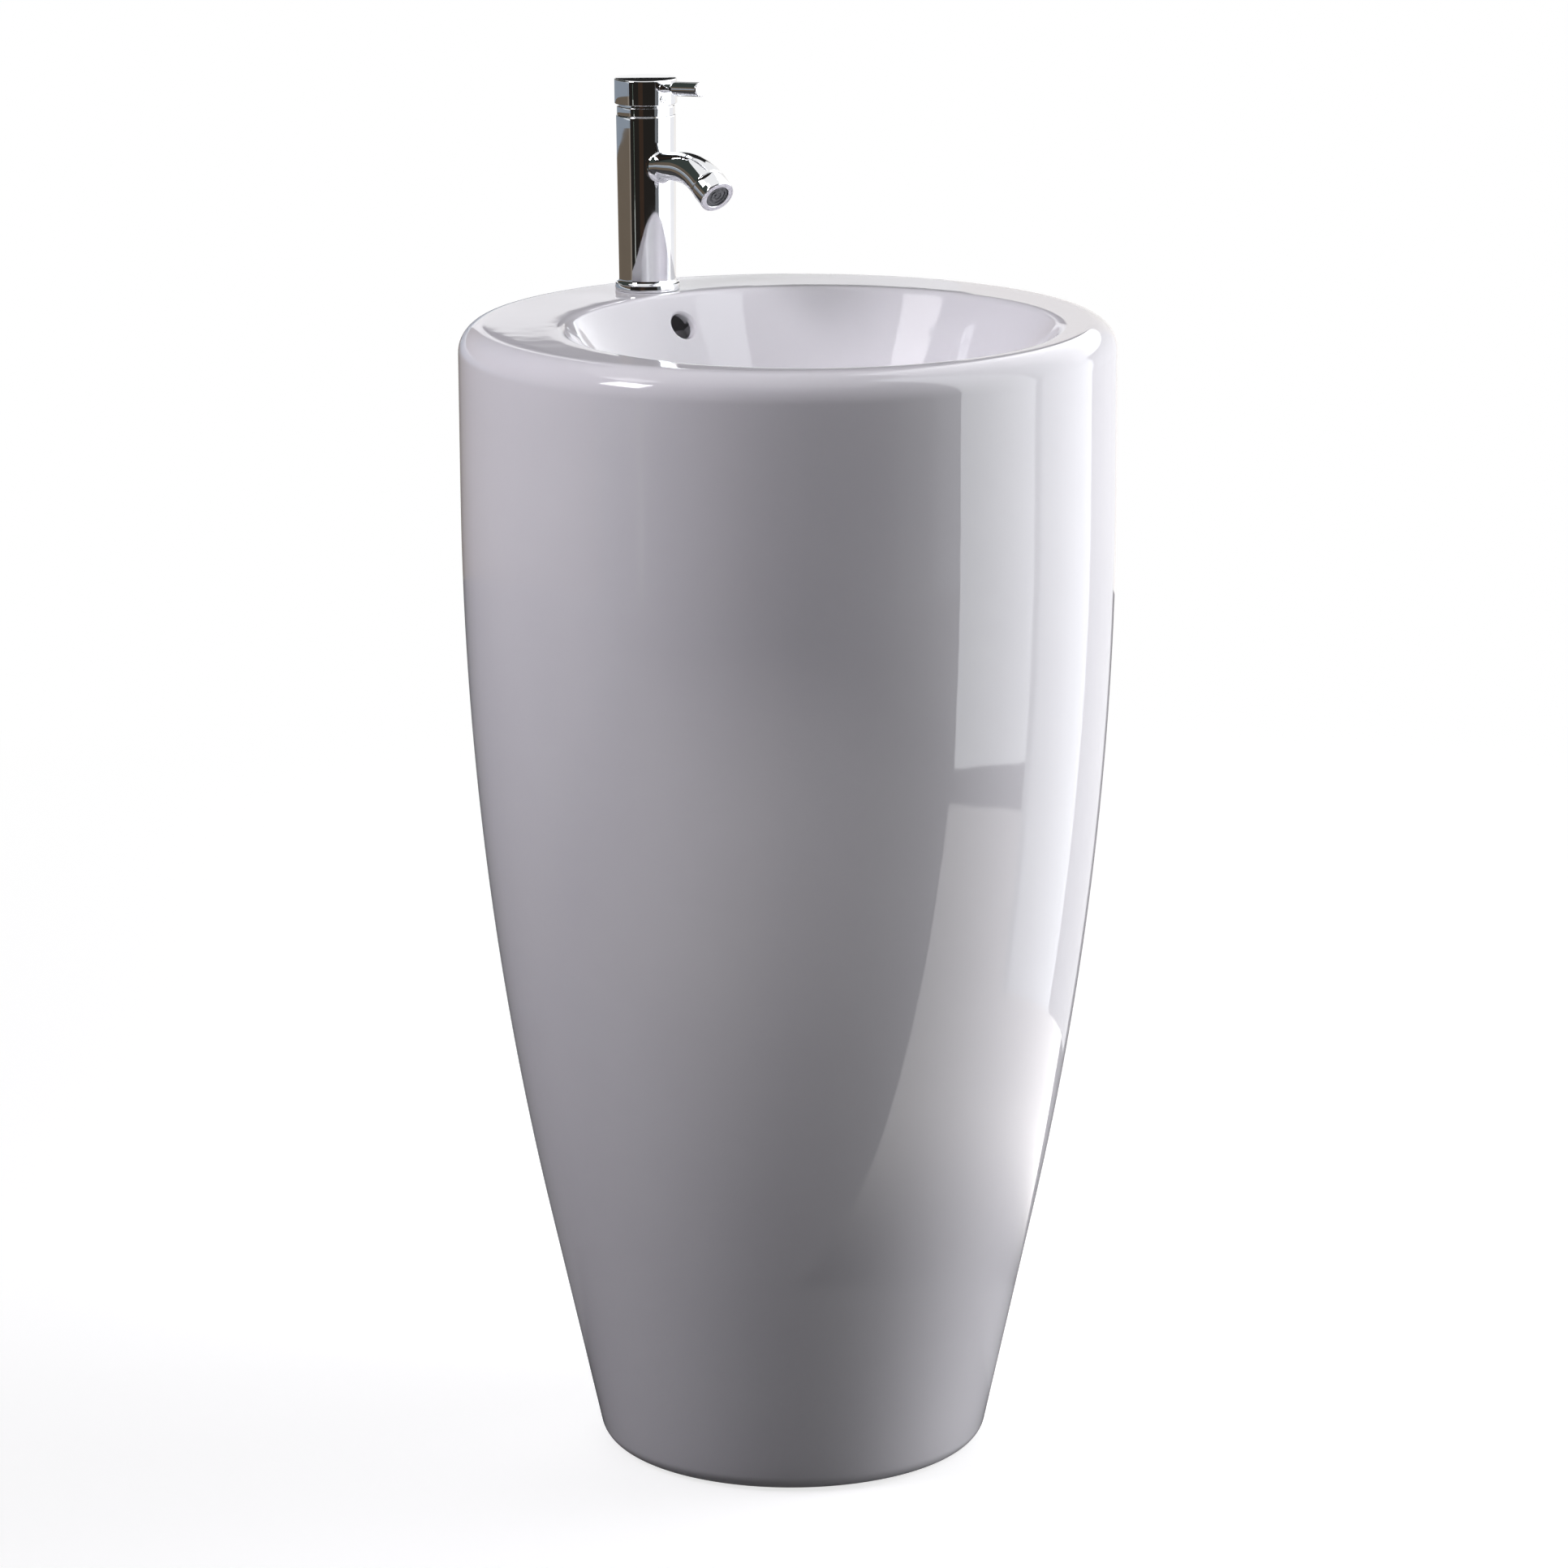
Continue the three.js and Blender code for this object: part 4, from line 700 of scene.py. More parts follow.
def make_aerator_housing():
    """The tip, with a neck in the spout's socket and two spanner flats."""
    back, wide = -TIP_LENGTH, 2 * TIP_RADIUS
    neck = back - NECK_LENGTH
    shell = hollow([
        (TIP_BORE, 0, 0.5), (TIP_RADIUS, 0, 1.1), (TIP_RADIUS, back, 0.35), (NECK_RADIUS, back),
        (NECK_RADIUS, neck, 0.3), (NECK_BORE, neck, 0.3), (NECK_BORE, back), (TIP_BORE, back),
    ], 5, 128)
    middle = back + 0.6 + FLAT_LENGTH / 2
    flats = [spun(block(wide, wide, FLAT_LENGTH, side * (wide - FLAT_DEPTH), 0, middle), FLAT_TURN)
             for side in (-1, 1)]
    show("aerator_housing", at_tip(cut(shell, *flats)), sharp=30)


def make_aerator_insert():
    """The grey insert with two grooves round its middle."""
    face, floor = INSERT_FACE, INSERT_FACE - 0.7
    grooves = []
    for inner in (1.4, 4.7):
        outer = inner + 2
        grooves += [(inner, face, 0.25), (inner, floor, 0.2), (outer, floor, 0.2), (outer, face, 0.25)]
    insert = solid([
        (0, face), *grooves, (INSERT_RADIUS, face, 0.5), (INSERT_RADIUS, INSERT_BACK),
        (0, INSERT_BACK),
    ])
    show("aerator_insert", at_tip(insert))


# ---- trim, cap and lever

TRIM_BOTTOM, TRIM_HEIGHT, TRIM_RADIUS = 131.7, 6.6, 21.65
COLLAR_RADIUS, COLLAR_HEIGHT = 20.35, 2.0
CAP_BOTTOM, CAP_RADIUS, CAP_HEIGHT, CAP_WALL = 140.3, 23.35, 18.7, 1.5
PIVOT_HEIGHT = 120.3
CEILING = PIVOT_HEIGHT + hypot(CAP_RADIUS - CAP_WALL, CAP_BOTTOM - PIVOT_HEIGHT) + GAP
HUB_RADIUS, HUB_BOTTOM = 7.4, CAP_BOTTOM + 1.6
BOSS_SIDE, BOSS_FORWARD = 9.0, 8.0
STEM_SOCKET, STEM_TOP = 8.5, 12.4
SCREW_HEIGHT, SCREW_HOLE, INDEX_HOLE, INDEX_DEPTH, PAD_RADIUS = 4.9, 2.65, 3.05, 2.6, 3.9
LEVER_HEIGHT, LEVER_RISE, LEVER_HOLE = 11.0, radians(4.6), 2.85
SHANK_RADIUS, LEVER_THIN, LEVER_THICK = 2.6, 3.4, 5.3
FLARE_FROM, FLARE_TO, LEVER_END = 36.5, 41.5, 73.5


def on_lever(mesh):
    """Moves what is built along +Z to the lever's axis."""
    return moved(mesh, TAP @ aim(cos(LEVER_RISE), sin(LEVER_RISE), 0, CAP_BOTTOM + LEVER_HEIGHT))


def on_screw(mesh):
    """Moves what is built along +Z to the grub screw's axis."""
    return moved(mesh, TAP @ aim(1, 0, 0, CAP_BOTTOM + SCREW_HEIGHT))


def make_trim():
    """The ring between body and cap, with a collar that the cap turns over."""
    low, high = TRIM_BOTTOM, TRIM_BOTTOM + TRIM_HEIGHT
    collar = high + COLLAR_HEIGHT
    ring = hollow([
        (NUT_BORE, low), (TRIM_RADIUS, low, 0.45), (TRIM_RADIUS, high, 0.45), (COLLAR_RADIUS, high),
        (COLLAR_RADIUS, collar, 0.3), (NUT_BORE, collar, 0.2),
    ], count=144)
    show("trim_ring", moved(ring, TAP))


def make_cap():
    """The hollow cap, with its hub and the holes for the lever and the screw."""
    top, inside = CAP_BOTTOM + CAP_HEIGHT, CAP_RADIUS - CAP_WALL
    cup = solid([
        (0, CEILING), (inside, CEILING, 0.8), (inside, CAP_BOTTOM, 0.25),
        (CAP_RADIUS, CAP_BOTTOM, 0.4), (CAP_RADIUS, top, 1.1), (0, top),
    ], 6, 160)
    hub_top = CEILING + 1
    boss = block(BOSS_SIDE, BOSS_SIDE, hub_top - HUB_BOTTOM, 0, -BOSS_FORWARD, (hub_top + HUB_BOTTOM) / 2)
    hub = bar(HUB_RADIUS, HUB_BOTTOM, hub_top)
    shell = moved(joined(cup, boss, hub), TAP)
    pad = on_screw(bar(PAD_RADIUS, inside - 1.9, inside + 0.5))
    middle = CAP_BOTTOM + STEM_TOP - CAP_HEIGHT / 2
    socket = moved(block(STEM_SOCKET, STEM_SOCKET, CAP_HEIGHT, 0, 0, middle), TAP)
    seat, out = CAP_RADIUS - INDEX_DEPTH, CAP_RADIUS + 2
    holes = [on_screw(bar(SCREW_HOLE, 0, seat + 1)), on_screw(bar(INDEX_HOLE, seat, out)),
             on_lever(bar(LEVER_HOLE, CAP_RADIUS / 2, out))]
    show("handle_cap", cut(joined(shell, pad), socket, *holes))


def make_lever():
    """A shank in the cap, then a thin neck that flares into a thicker bar."""
    start, neck = CAP_RADIUS / 2 + GAP, CAP_RADIUS + 0.4
    outline = rounded([
        (0, start), (SHANK_RADIUS, start, 0.3), (SHANK_RADIUS, CAP_RADIUS - 1),
        (SHANK_RADIUS, neck - 0.6), (LEVER_THIN, neck + 0.2, 0.4), (LEVER_THIN, FLARE_FROM, 3),
        (LEVER_THICK, FLARE_TO, 3), (LEVER_THICK, LEVER_END, 1.0), (0, LEVER_END),
    ], 6, False)
    show("lever_rod", on_lever(turned(dense(outline, 6), 96)))


def make_index_plug():
    """The small plug over the grub screw, with a groove round its middle."""
    back, proud = CAP_RADIUS - 2.4, CAP_RADIUS + 0.5
    plug = solid([
        (0, back), (2.9, back, 0.2), (2.9, CAP_RADIUS + 0.1, 0.35), (2.1, proud, 0.25),
        (1.7, CAP_RADIUS + 0.15, 0.2), (0.9, proud, 0.4), (0, CAP_RADIUS + 0.6),
    ], count=64)
    show("index_plug", on_screw(plug))


make_tap_body()
make_aerator_housing()
make_aerator_insert()
make_trim()
make_cap()
make_lever()
make_index_plug()


# ---- click waste

FLANGE_TOP, FLANGE_UNDER, FLANGE_RADIUS = 724.2, 721.2, 31.5
WASTE_END, WASTE_BORE, WASTE_RADIUS, THREAD_HOLE = 655.2, 17.8, 20.9, 21.15
SLOT_WIDTH, SLOT_TALL, SLOT_HEIGHT = 10.0, 11.0, 705.5
ARM_LENGTH, ARM_WIDTH, ARM_TALL, ARM_HEIGHT = 36.6, 3.0, 5.0, 708.2
CLICK_HUB, CLICK_HOLE = 9.5, 5.75
PLUG_STEM, PLUG_STEM_END, PLUG_SKIRT, PLUG_SKIRT_LOW = 3.0, 694.2, 16.3, 720.4
SEAL_SEAT, SEAL_SEAT_LOW, SEAL_SEAT_HIGH = 14.8, 721.4, 723.4
PLUG_UNDER, PLUG_RADIUS, PLUG_TOP = 724.4, 29.0, 728.4
DOME_RADIUS, DOME_EDGE = 500.0, 27.6
WASHER_RADIUS, CONE_TOP_RADIUS = 29.9, 25.9
CONE_LOW, CONE_RIM, CONE_HIGH = 677.6, 679.6, 682.6
PLATE_LOW, PLATE_HIGH = 675.9, 677.4
NUT_LOW, NUT_HIGH, NUT_FLATS, NUT_CHAMFER = 666.7, 675.7, 52.0, 2.2


def at_drain(mesh):
    return shifted(mesh, 0, -BOWL_FORWARD, 0)


def make_waste_body():
    """The flanged tube with its overflow slots, and three arms for the cartridge."""
    bevel = FLANGE_UNDER + 1
    tube = hollow([
        (WASTE_BORE, WASTE_END, 0.5), (WASTE_RADIUS, WASTE_END, 0.8), (WASTE_RADIUS, FLANGE_UNDER),
        (30.6, FLANGE_UNDER, 0.3), (FLANGE_RADIUS, bevel, 0.4), (30.2, FLANGE_TOP, 1.2),
        (21.8, FLANGE_TOP, 1.6), (WASTE_BORE, bevel, 1.6),
    ], 6, 160)
    through = 2 * FLANGE_RADIUS - 1
    slots = [spun(block(through, SLOT_WIDTH, SLOT_TALL, 0, 0, SLOT_HEIGHT), a) for a in (0, 90)]
    arms = [spun(block(ARM_LENGTH, ARM_WIDTH, ARM_TALL, 0, 0, ARM_HEIGHT), a) for a in (0, 60, 120)]
    low, high = ARM_HEIGHT - ARM_TALL / 2, ARM_HEIGHT + ARM_TALL / 2
    hub = solid([(0, low), (CLICK_HUB, low, 0.5), (CLICK_HUB, high, 0.5), (0, high)], count=64)
    mesh = joined(cut(tube, *slots), *arms, hub)
    show("waste_body", at_drain(cut(mesh, bar(CLICK_HOLE, low - PAST, high + PAST))))


def make_plug():
    """The domed cap on its stem, with a seat for the seal."""
    dome = arc((0, PLUG_TOP - DOME_RADIUS), DOME_RADIUS, acos(DOME_EDGE / DOME_RADIUS), pi / 2, 12)
    outline = rounded([
        (0, PLUG_STEM_END), (PLUG_STEM, PLUG_STEM_END, 0.5), (PLUG_STEM, PLUG_SKIRT_LOW, 0.6),
        (PLUG_SKIRT, PLUG_SKIRT_LOW, 0.3), (PLUG_SKIRT, SEAL_SEAT_LOW, 0.15),
        (SEAL_SEAT, SEAL_SEAT_LOW), (SEAL_SEAT, SEAL_SEAT_HIGH), (PLUG_SKIRT, SEAL_SEAT_HIGH, 0.15),
        (PLUG_SKIRT, PLUG_UNDER), (27.8, PLUG_UNDER, 0.3), (PLUG_RADIUS, 725.4, 0.6),
        (28.6, 727.5, 0.9), dome[0], dome[1],
    ], 6, False)
    show("plug_cap", at_drain(turned(outline[:-1] + dome[1:], 160)))


def make_washers():
    """The conical washer under the basin's boss, and the slide washer under it."""
    cone = hollow([
        (THREAD_HOLE, CONE_LOW), (WASHER_RADIUS, CONE_LOW, 0.4), (WASHER_RADIUS, CONE_RIM, 0.6),
        (CONE_TOP_RADIUS, CONE_HIGH, 0.8), (THREAD_HOLE, CONE_HIGH),
    ])
    plate = hollow([
        (THREAD_HOLE, PLATE_LOW), (WASHER_RADIUS, PLATE_LOW, 0.4), (WASHER_RADIUS, PLATE_HIGH, 0.4),
        (THREAD_HOLE, PLATE_HIGH),
    ])
    show("conical_washer", at_drain(cone), sharp=32)
    show("slide_washer", at_drain(plate), sharp=32)


def make_back_nut():
    """A chamfered hexagon nut."""
    flat, corner = NUT_FLATS / 2, NUT_FLATS / sqrt(3)
    hexagon = [(corner * cos(pi / 3 * i), corner * sin(pi / 3 * i)) for i in range(6)]
    chamfer = turned([(0, NUT_LOW), (flat - 0.5, NUT_LOW), (corner + 0.1, NUT_LOW + NUT_CHAMFER),
                      (corner + 0.1, NUT_HIGH - NUT_CHAMFER), (flat - 0.5, NUT_HIGH),
                      (0, NUT_HIGH)], 144)
    nut = combined(prism(hexagon, NUT_LOW, NUT_HIGH), "INTERSECT", chamfer)
    hole = bar(THREAD_HOLE, NUT_LOW - PAST, NUT_HIGH + PAST, 96)
    show("back_nut", at_drain(cut(nut, hole)), sharp=30)


# ---- bottle trap

PIPE_RADIUS, PIPE_BORE, PIPE_HOLE = 16.0, 14.5, 16.25
TRAP_TOP, TRAP_NECK, TRAP_RADIUS, TRAP_BORE, SKIRT_RADIUS = 592.0, 21.75, 31.0, 25.0, 28.0
TRAP_LENGTH, TRAP_SHOULDER, TRAP_ROOF, SKIRT_LENGTH = 71.0, 16.0, 19.0, 12.0
CUP_BOTTOM, CUP_TOP, CUP_RADIUS, CUP_WALL, CUP_ROUND = 462.8, 532.8, 31.25, 3.0, 12.0
OUTLET_HEIGHT, OUTLET_ROOT, OUTLET_FACE = 555.0, 25.0, 49.0
TAIL_BOTTOM, TAIL_FLANGE, TAIL_TOP, TAIL_RIM = 486.8, 651.3, 653.3, 20.0
OUTLET_START, OUTLET_END = 31.0, 256.4
UNION_HEIGHT, UNION_WALL, UNION_LIP, UNION_CHAMFER = 20.0, 3.0, 5.0, 3.0
UNION_REACH, TAIL_NUT_LIP = 6.9, 646.1
FLUTES, FLUTE_DEPTH, FLUTE_HALF = 8, 0.8, 1.5


def along_outlet(mesh):
    """Moves what is built along +Z to the outlet's axis."""
    return moved(mesh, aim(-1, 0, -BOWL_FORWARD, OUTLET_HEIGHT))


def flute_turns(reach):
    """Angles round a union nut, dense across each flute, and how far each is sunk."""
    bend = (FLUTE_HALF ** 2 + FLUTE_DEPTH ** 2) / (2 * FLUTE_DEPTH)
    pitch = 2 * pi * reach / FLUTES
    step = FLUTE_HALF / 6
    places = [step * k for k in range(-7, 8)]
    places += [step * 7 + (pitch - step * 14) * k / 8 for k in range(1, 8)]
    turns = [(flute * pitch + place) / reach for flute in range(FLUTES) for place in places]
    sunk = [max(sqrt(max(bend ** 2 - p ** 2, 0)) - (bend - FLUTE_DEPTH), 0) for p in places]
    return turns, sunk * FLUTES


def union_nut(thread):
    """A union nut with its lip at zero and rounded flutes for the hand."""
    reach, height = thread + UNION_WALL, UNION_HEIGHT
    turns, sunk = flute_turns(reach)
    outline = rounded([
        (PIPE_HOLE, 0, 0.5), (reach - UNION_CHAMFER, 0, 0.8), (reach, UNION_CHAMFER, 1.2),
        (reach, height, 0.8), (thread, height, 0.4), (thread, UNION_LIP, 0.3),
        (PIPE_HOLE, UNION_LIP, 0.3),
    ], 5)
    outline = dense(outline + outline[:1], 1.0)[:-1]
    skin, fade, end = 1.2, 1.5, height - 2
    rows = []
    for r, z in outline:
        on_side = min(max((r - reach + skin) / skin, 0), 1)
        ends = min(max((z - UNION_CHAMFER) / fade, 0), max((end - z) / fade, 0), 1)
        depth = sqrt(1 - (1 - ends) ** 2) * on_side
        rows.append([((r - d * depth) * cos(a), (r - d * depth) * sin(a), z)
                     for a, d in zip(turns, sunk)])
    return mesh_of(rows, closed_rows=True)


def make_trap_body():
    """Inlet neck, round body, outlet stub, and a skirt inside the cup."""
    bottom, shoulder = TRAP_TOP - TRAP_LENGTH, TRAP_TOP - TRAP_SHOULDER
    skirt = bottom + SKIRT_LENGTH
    outline = rounded([
        (0, bottom), (SKIRT_RADIUS, bottom, 0.5), (SKIRT_RADIUS, skirt), (TRAP_RADIUS, skirt, 0.8),
        (TRAP_RADIUS, shoulder, 6), (TRAP_NECK, shoulder, 0.8), (TRAP_NECK, TRAP_TOP, 0.8),
        (0, TRAP_TOP),
    ], 8, False)
    stub = solid([
        (0, OUTLET_ROOT), (TRAP_NECK, OUTLET_ROOT), (TRAP_NECK, OUTLET_FACE, 0.8), (0, OUTLET_FACE),
    ], 5)
    body = joined(at_drain(turned(dense(outline, 8), 128)), along_outlet(stub))
    room = at_drain(bar(TRAP_BORE, bottom - PAST, TRAP_TOP - TRAP_ROOF, 96))
    throat = at_drain(bar(PIPE_HOLE, bottom - PAST, TRAP_TOP + PAST, 96))
    outlet = along_outlet(bar(PIPE_HOLE, PIPE_RADIUS, OUTLET_FACE + PAST, 96))
    show("trap_body", cut(body, room, throat, outlet), sharp=35)


def make_trap_cup():
    """The round-bottomed cup that screws over the skirt."""
    inside, middle, bend = CUP_RADIUS - CUP_WALL, CUP_BOTTOM + CUP_ROUND, CUP_ROUND - CUP_WALL
    centre = (CUP_RADIUS - CUP_ROUND, middle)
    outline = [(0, CUP_BOTTOM), *arc(centre, CUP_ROUND, -pi / 2, 0, 14)]
    outline += rounded([
        outline[-1], (CUP_RADIUS, CUP_TOP, 1.0), (inside, CUP_TOP, 0.5), (inside, middle),
    ], 5, False)[1:]
    outline += arc(centre, bend, 0, -pi / 2, 14)[1:] + [(0, CUP_BOTTOM + CUP_WALL)]
    show("trap_cup", at_drain(turned(dense(outline, 8), 144)))


def make_pipes():
    """The flanged tailpiece down into the trap, and the outlet pipe to the rear."""
    flanged = hollow([
        (PIPE_BORE, TAIL_BOTTOM, 0.5), (PIPE_RADIUS, TAIL_BOTTOM, 0.5),
        (PIPE_RADIUS, TAIL_FLANGE, 0.5), (TAIL_RIM, TAIL_FLANGE, 0.4), (TAIL_RIM, TAIL_TOP, 0.4),
        (PIPE_BORE, TAIL_TOP, 0.4),
    ], count=112)
    plain = hollow([
        (PIPE_BORE, OUTLET_START, 0.4), (PIPE_RADIUS, OUTLET_START, 0.4),
        (PIPE_RADIUS, OUTLET_END, 0.5), (PIPE_BORE, OUTLET_END, 0.5),
    ], count=112)
    show("tailpiece", at_drain(flanged), sharp=32)
    show("outlet_pipe", along_outlet(plain), sharp=32)


def make_union_nuts():
    """One nut on the waste, lip down, and two on the trap, lips outwards."""
    over = Matrix.Rotation(pi, 4, "X")
    thread = TRAP_NECK + 0.25
    show("tail_nut", at_drain(shifted(union_nut(THREAD_HOLE), 0, 0, TAIL_NUT_LIP)), sharp=35)
    for node, face, place in (("inlet_nut", TRAP_TOP, at_drain),
                              ("outlet_nut", OUTLET_FACE, along_outlet)):
        nut = shifted(moved(union_nut(thread), over), 0, 0, face + UNION_REACH)
        show(node, place(nut), sharp=35)


make_waste_body()
make_plug()
make_washers()
make_back_nut()
make_trap_body()
make_trap_cup()
make_pipes()
make_union_nuts()


# ---- carried-over CAD nodes

for name, thing in frame["nodes"].items():
    thing.data.shade_smooth()
    thing.data.set_sharp_from_angle(angle=radians(25))
    thing.material_slots[0].material = materials[slot_of_node[name]]


# ---- camera

EYE_AZIMUTH = radians(35.1)
EYE_REACH, EYE_HEIGHT = 4.2839, 1.5428
EYE_PITCH, EYE_TURN, EYE_ROLL = -0.2304, -0.6126, -0.005
SENSOR, LENS, SHIFT_X, SHIFT_Y = 36.0, 136.5932, -0.0037, -0.0297


def make_camera():
    data = bpy.data.cameras.new("camera")
    data.sensor_width, data.lens = SENSOR, LENS
    data.shift_x, data.shift_y = SHIFT_X, SHIFT_Y
    camera = new_object("camera", data)
    camera.location = seen_from(0, EYE_REACH, EYE_HEIGHT)
    look = Matrix.Rotation(EYE_TURN, 4, "Z") @ Matrix.Rotation(pi / 2 + EYE_PITCH, 4, "X")
    camera.rotation_euler = (look @ Matrix.Rotation(EYE_ROLL, 4, "Z")).to_euler()
    bpy.context.scene.camera = camera


def seen_from(azimuth, distance, height):
    """A place at an angle from the camera's side, positive to the camera's right."""
    a = radians(azimuth)
    back = Vector((-sin(EYE_AZIMUTH), -cos(EYE_AZIMUTH), 0))
    right = Vector((cos(EYE_AZIMUTH), -sin(EYE_AZIMUTH), 0))
    return (back * cos(a) + right * sin(a)) * distance + Vector((0, 0, height))


# ---- floor and background

FLOOR_HALF, FLOOR_DROP = 30.0, 0.0005
FADE_START, FADE_END = 0.5, 2.5
FLOOR_SHADE, FLOOR_GLOW = (0.45, 0.45, 0.45, 1), 0.74
FLOOR_IN_LIGHT, FLOOR_ROUGHNESS = (0.11, 0.11, 0.11, 1), 0.8
SOFT_COLOUR, SOFT_STRENGTH = (0.96, 0.94, 1.0, 1), 0.09


def away_from_origin(tree, start, end, first, last, ease="LINEAR"):
    """Runs from first to last between two distances from the object's origin."""
    where = made(tree, "TexCoord", {}, "Object")
    away = made(tree, "VectorMath", {0: where}, "Value", operation="LENGTH")
    places = {"From Min": start, "From Max": end, "To Min": first, "To Max": last}
    return made(tree, "MapRange", {"Value": away, **places}, interpolation_type=ease)


def floor_material():
    """The camera sees it pale, fading to white, and the light meets it darker."""
    material, tree, plain = new_material("floor")
    feed(tree, plain, {"Base Color": FLOOR_IN_LIGHT, "Roughness": FLOOR_ROUGHNESS})
    shaded = made(tree, "BsdfDiffuse", {"Color": FLOOR_SHADE})
    glowing = made(tree, "Emission", {"Strength": FLOOR_GLOW})
    near = made(tree, "AddShader", {0: shaded, 1: glowing})
    white = made(tree, "Emission", {"Strength": 1.0})
    fade = away_from_origin(tree, FADE_START, FADE_END, 0.0, 1.0)
    ground = made(tree, "MixShader", {0: fade, 1: near, 2: white})
    seen = made(tree, "LightPath", {}, "Is Camera Ray")
    surface = made(tree, "MixShader", {0: seen, 1: plain.outputs[0], 2: ground})
    feed(tree, tree.nodes["Material Output"], {"Surface": surface})
    return material


def make_floor():
    """A large sheet just under the foot, which takes the shadow."""
    corners = [(x * FLOOR_HALF, y * FLOOR_HALF, 0) for x, y in ((-1, -1), (1, -1), (1, 1), (-1, 1))]
    floor = new_object("floor", new_mesh("floor", corners, [(0, 1, 2, 3)]))
    floor.data.materials.append(floor_material())
    floor.location.z = -FLOOR_DROP


def make_world():
    """White to the camera and in reflections, and a weak light for the rest."""
    world = bpy.data.worlds.new("studio")
    bpy.context.scene.world = world
    world.use_nodes = True
    tree = world.node_tree
    soft = tree.nodes["Background"]
    feed(tree, soft, {"Color": SOFT_COLOUR, "Strength": SOFT_STRENGTH})
    white = made(tree, "Background", {"Color": (1, 1, 1, 1), "Strength": 1.0})
    seen = made(tree, "LightPath", {}, "Is Camera Ray")
    path = seen.node
    for ray in ("Is Glossy Ray", "Is Transmission Ray"):
        seen = made(tree, "Math", {0: seen, 1: path.outputs[ray]}, operation="MAXIMUM")
    light = made(tree, "MixShader", {0: seen, 1: soft.outputs[0], 2: white})
    feed(tree, tree.nodes["World Output"], {"Surface": light})


# ---- lamps

COOL, WARM, PLAIN = (1.0, 0.965, 1.045), (1.0, 0.99, 1.03), (0.99, 0.98, 1.03)
LEFT_HIGH_SPREAD = radians(50)


def softbox(name, azimuth, distance, height, width, tall, radiance, tint=(1, 1, 1), target=0.6):
    """A soft lamp that shines at the object's axis and shows in no reflection."""
    data = bpy.data.lights.new(name, "AREA")
    data.shape = "RECTANGLE"
    data.size, data.size_y = width, tall
    data.energy = radiance * pi * width * tall
    data.color = tint
    lamp = new_object(name, data)
    lamp.location = seen_from(azimuth, distance, height)
    look = Vector((0, 0, target)) - lamp.location
    lamp.rotation_euler = look.to_track_quat("-Z", "Y").to_euler()
    lamp.visible_glossy = False
    return lamp


def make_lamps():
    """Lamps for the diffuse light alone, brighter at the sides."""
    left_high = softbox("left_high", -59, 2.0, 2.5, 0.9, 1.1, 1.06, COOL, 0.85)
    left_high.data.spread = LEFT_HIGH_SPREAD
    softbox("left_side", -88, 2.6, 1.9, 1.2, 1.6, 2.7, COOL, 0.8)
    softbox("right_high", 95, 2.0, 2.4, 1.0, 1.0, 3.4, WARM, 0.8)
    softbox("right_side", 95, 2.6, 1.2, 1.2, 2.0, 1.2, PLAIN)
    softbox("right_low", 97, 2.2, 0.7, 2.0, 1.4, 4.0, PLAIN, 0.5)
    softbox("rear", 180, 2.4, 1.6, 2.0, 2.0, 1.6)


# ---- boards for the reflections

FAR, NEAR, ROOM_HIGH, WINDOW_TOP = 3.2, 0.95, 5.0, 3.4
DAYLIGHT, WINDOW = (1.0, 0.98, 1.0), (0.95, 0.98, 1.0)
DARK_WALL, DARK_BACK = (0.018, 0.016, 0.014), (0.02, 0.02, 0.02)


def board(name, verts, faces, colour, strength, fade=None):
    """A glowing sheet that shows only in reflections. A fade is two distances from its origin
    and the strength at each."""
    sheet = new_object(name, new_mesh(name, verts, faces))
    material, tree, shader = new_material(name)
    feed(tree, shader, {"Base Color": (0, 0, 0, 1), "Specular IOR Level": 0.0,
                        "Emission Color": (*colour, 1), "Emission Strength": strength})
    if fade:
        value = away_from_origin(tree, *fade, "SMOOTHSTEP")
        feed(tree, shader, {"Emission Strength": value})
    sheet.data.materials.append(material)
    sheet.visible_camera = sheet.visible_diffuse = sheet.visible_shadow = False
    return sheet


def strip_faces(steps):
    """Quads between neighbouring pairs of points."""
    return [(i, i + 2, i + 3, i + 1) for i in range(0, 2 * steps, 2)]


def panel(name, start, end, distance, low, high, colour, strength=1.0):
    """An upright board that curves round the set between two angles."""
    steps = max(1, ceil(abs(end - start) / 5))
    verts = [seen_from(a, distance, z) for a in between(start, end, steps) for z in (low, high)]
    board(name, verts, strip_faces(steps), colour, strength)


def floor_pool(name, azimuth, distance, reach, widen, colour, strength):
    """A soft oval pool of light on the floor, wider across than towards the foot."""
    rim = circle(reach, 0, 48)
    pool = board(name, rim, [tuple(range(48))], colour, strength, (0.0, reach, strength, 0.0))
    pool.location = seen_from(azimuth, distance, 0.001)
    pool.rotation_euler.z = atan2(pool.location.y, pool.location.x)
    pool.scale.y = widen


def floor_board(name, near_span, near, far_span, far, colour, strength):
    """A board of painted light on the floor between two distances, fading to painted shade at the foot.
    """
    steps, height, fade = 24, 0.0024, 0.32
    verts = []
    for a, b in zip(between(*near_span, steps), between(*far_span, steps)):
        verts += [seen_from(a, near, height), seen_from(b, far, height)]
    board(name, verts, strip_faces(steps), colour, strength, (near, near + fade, 0.0, strength))


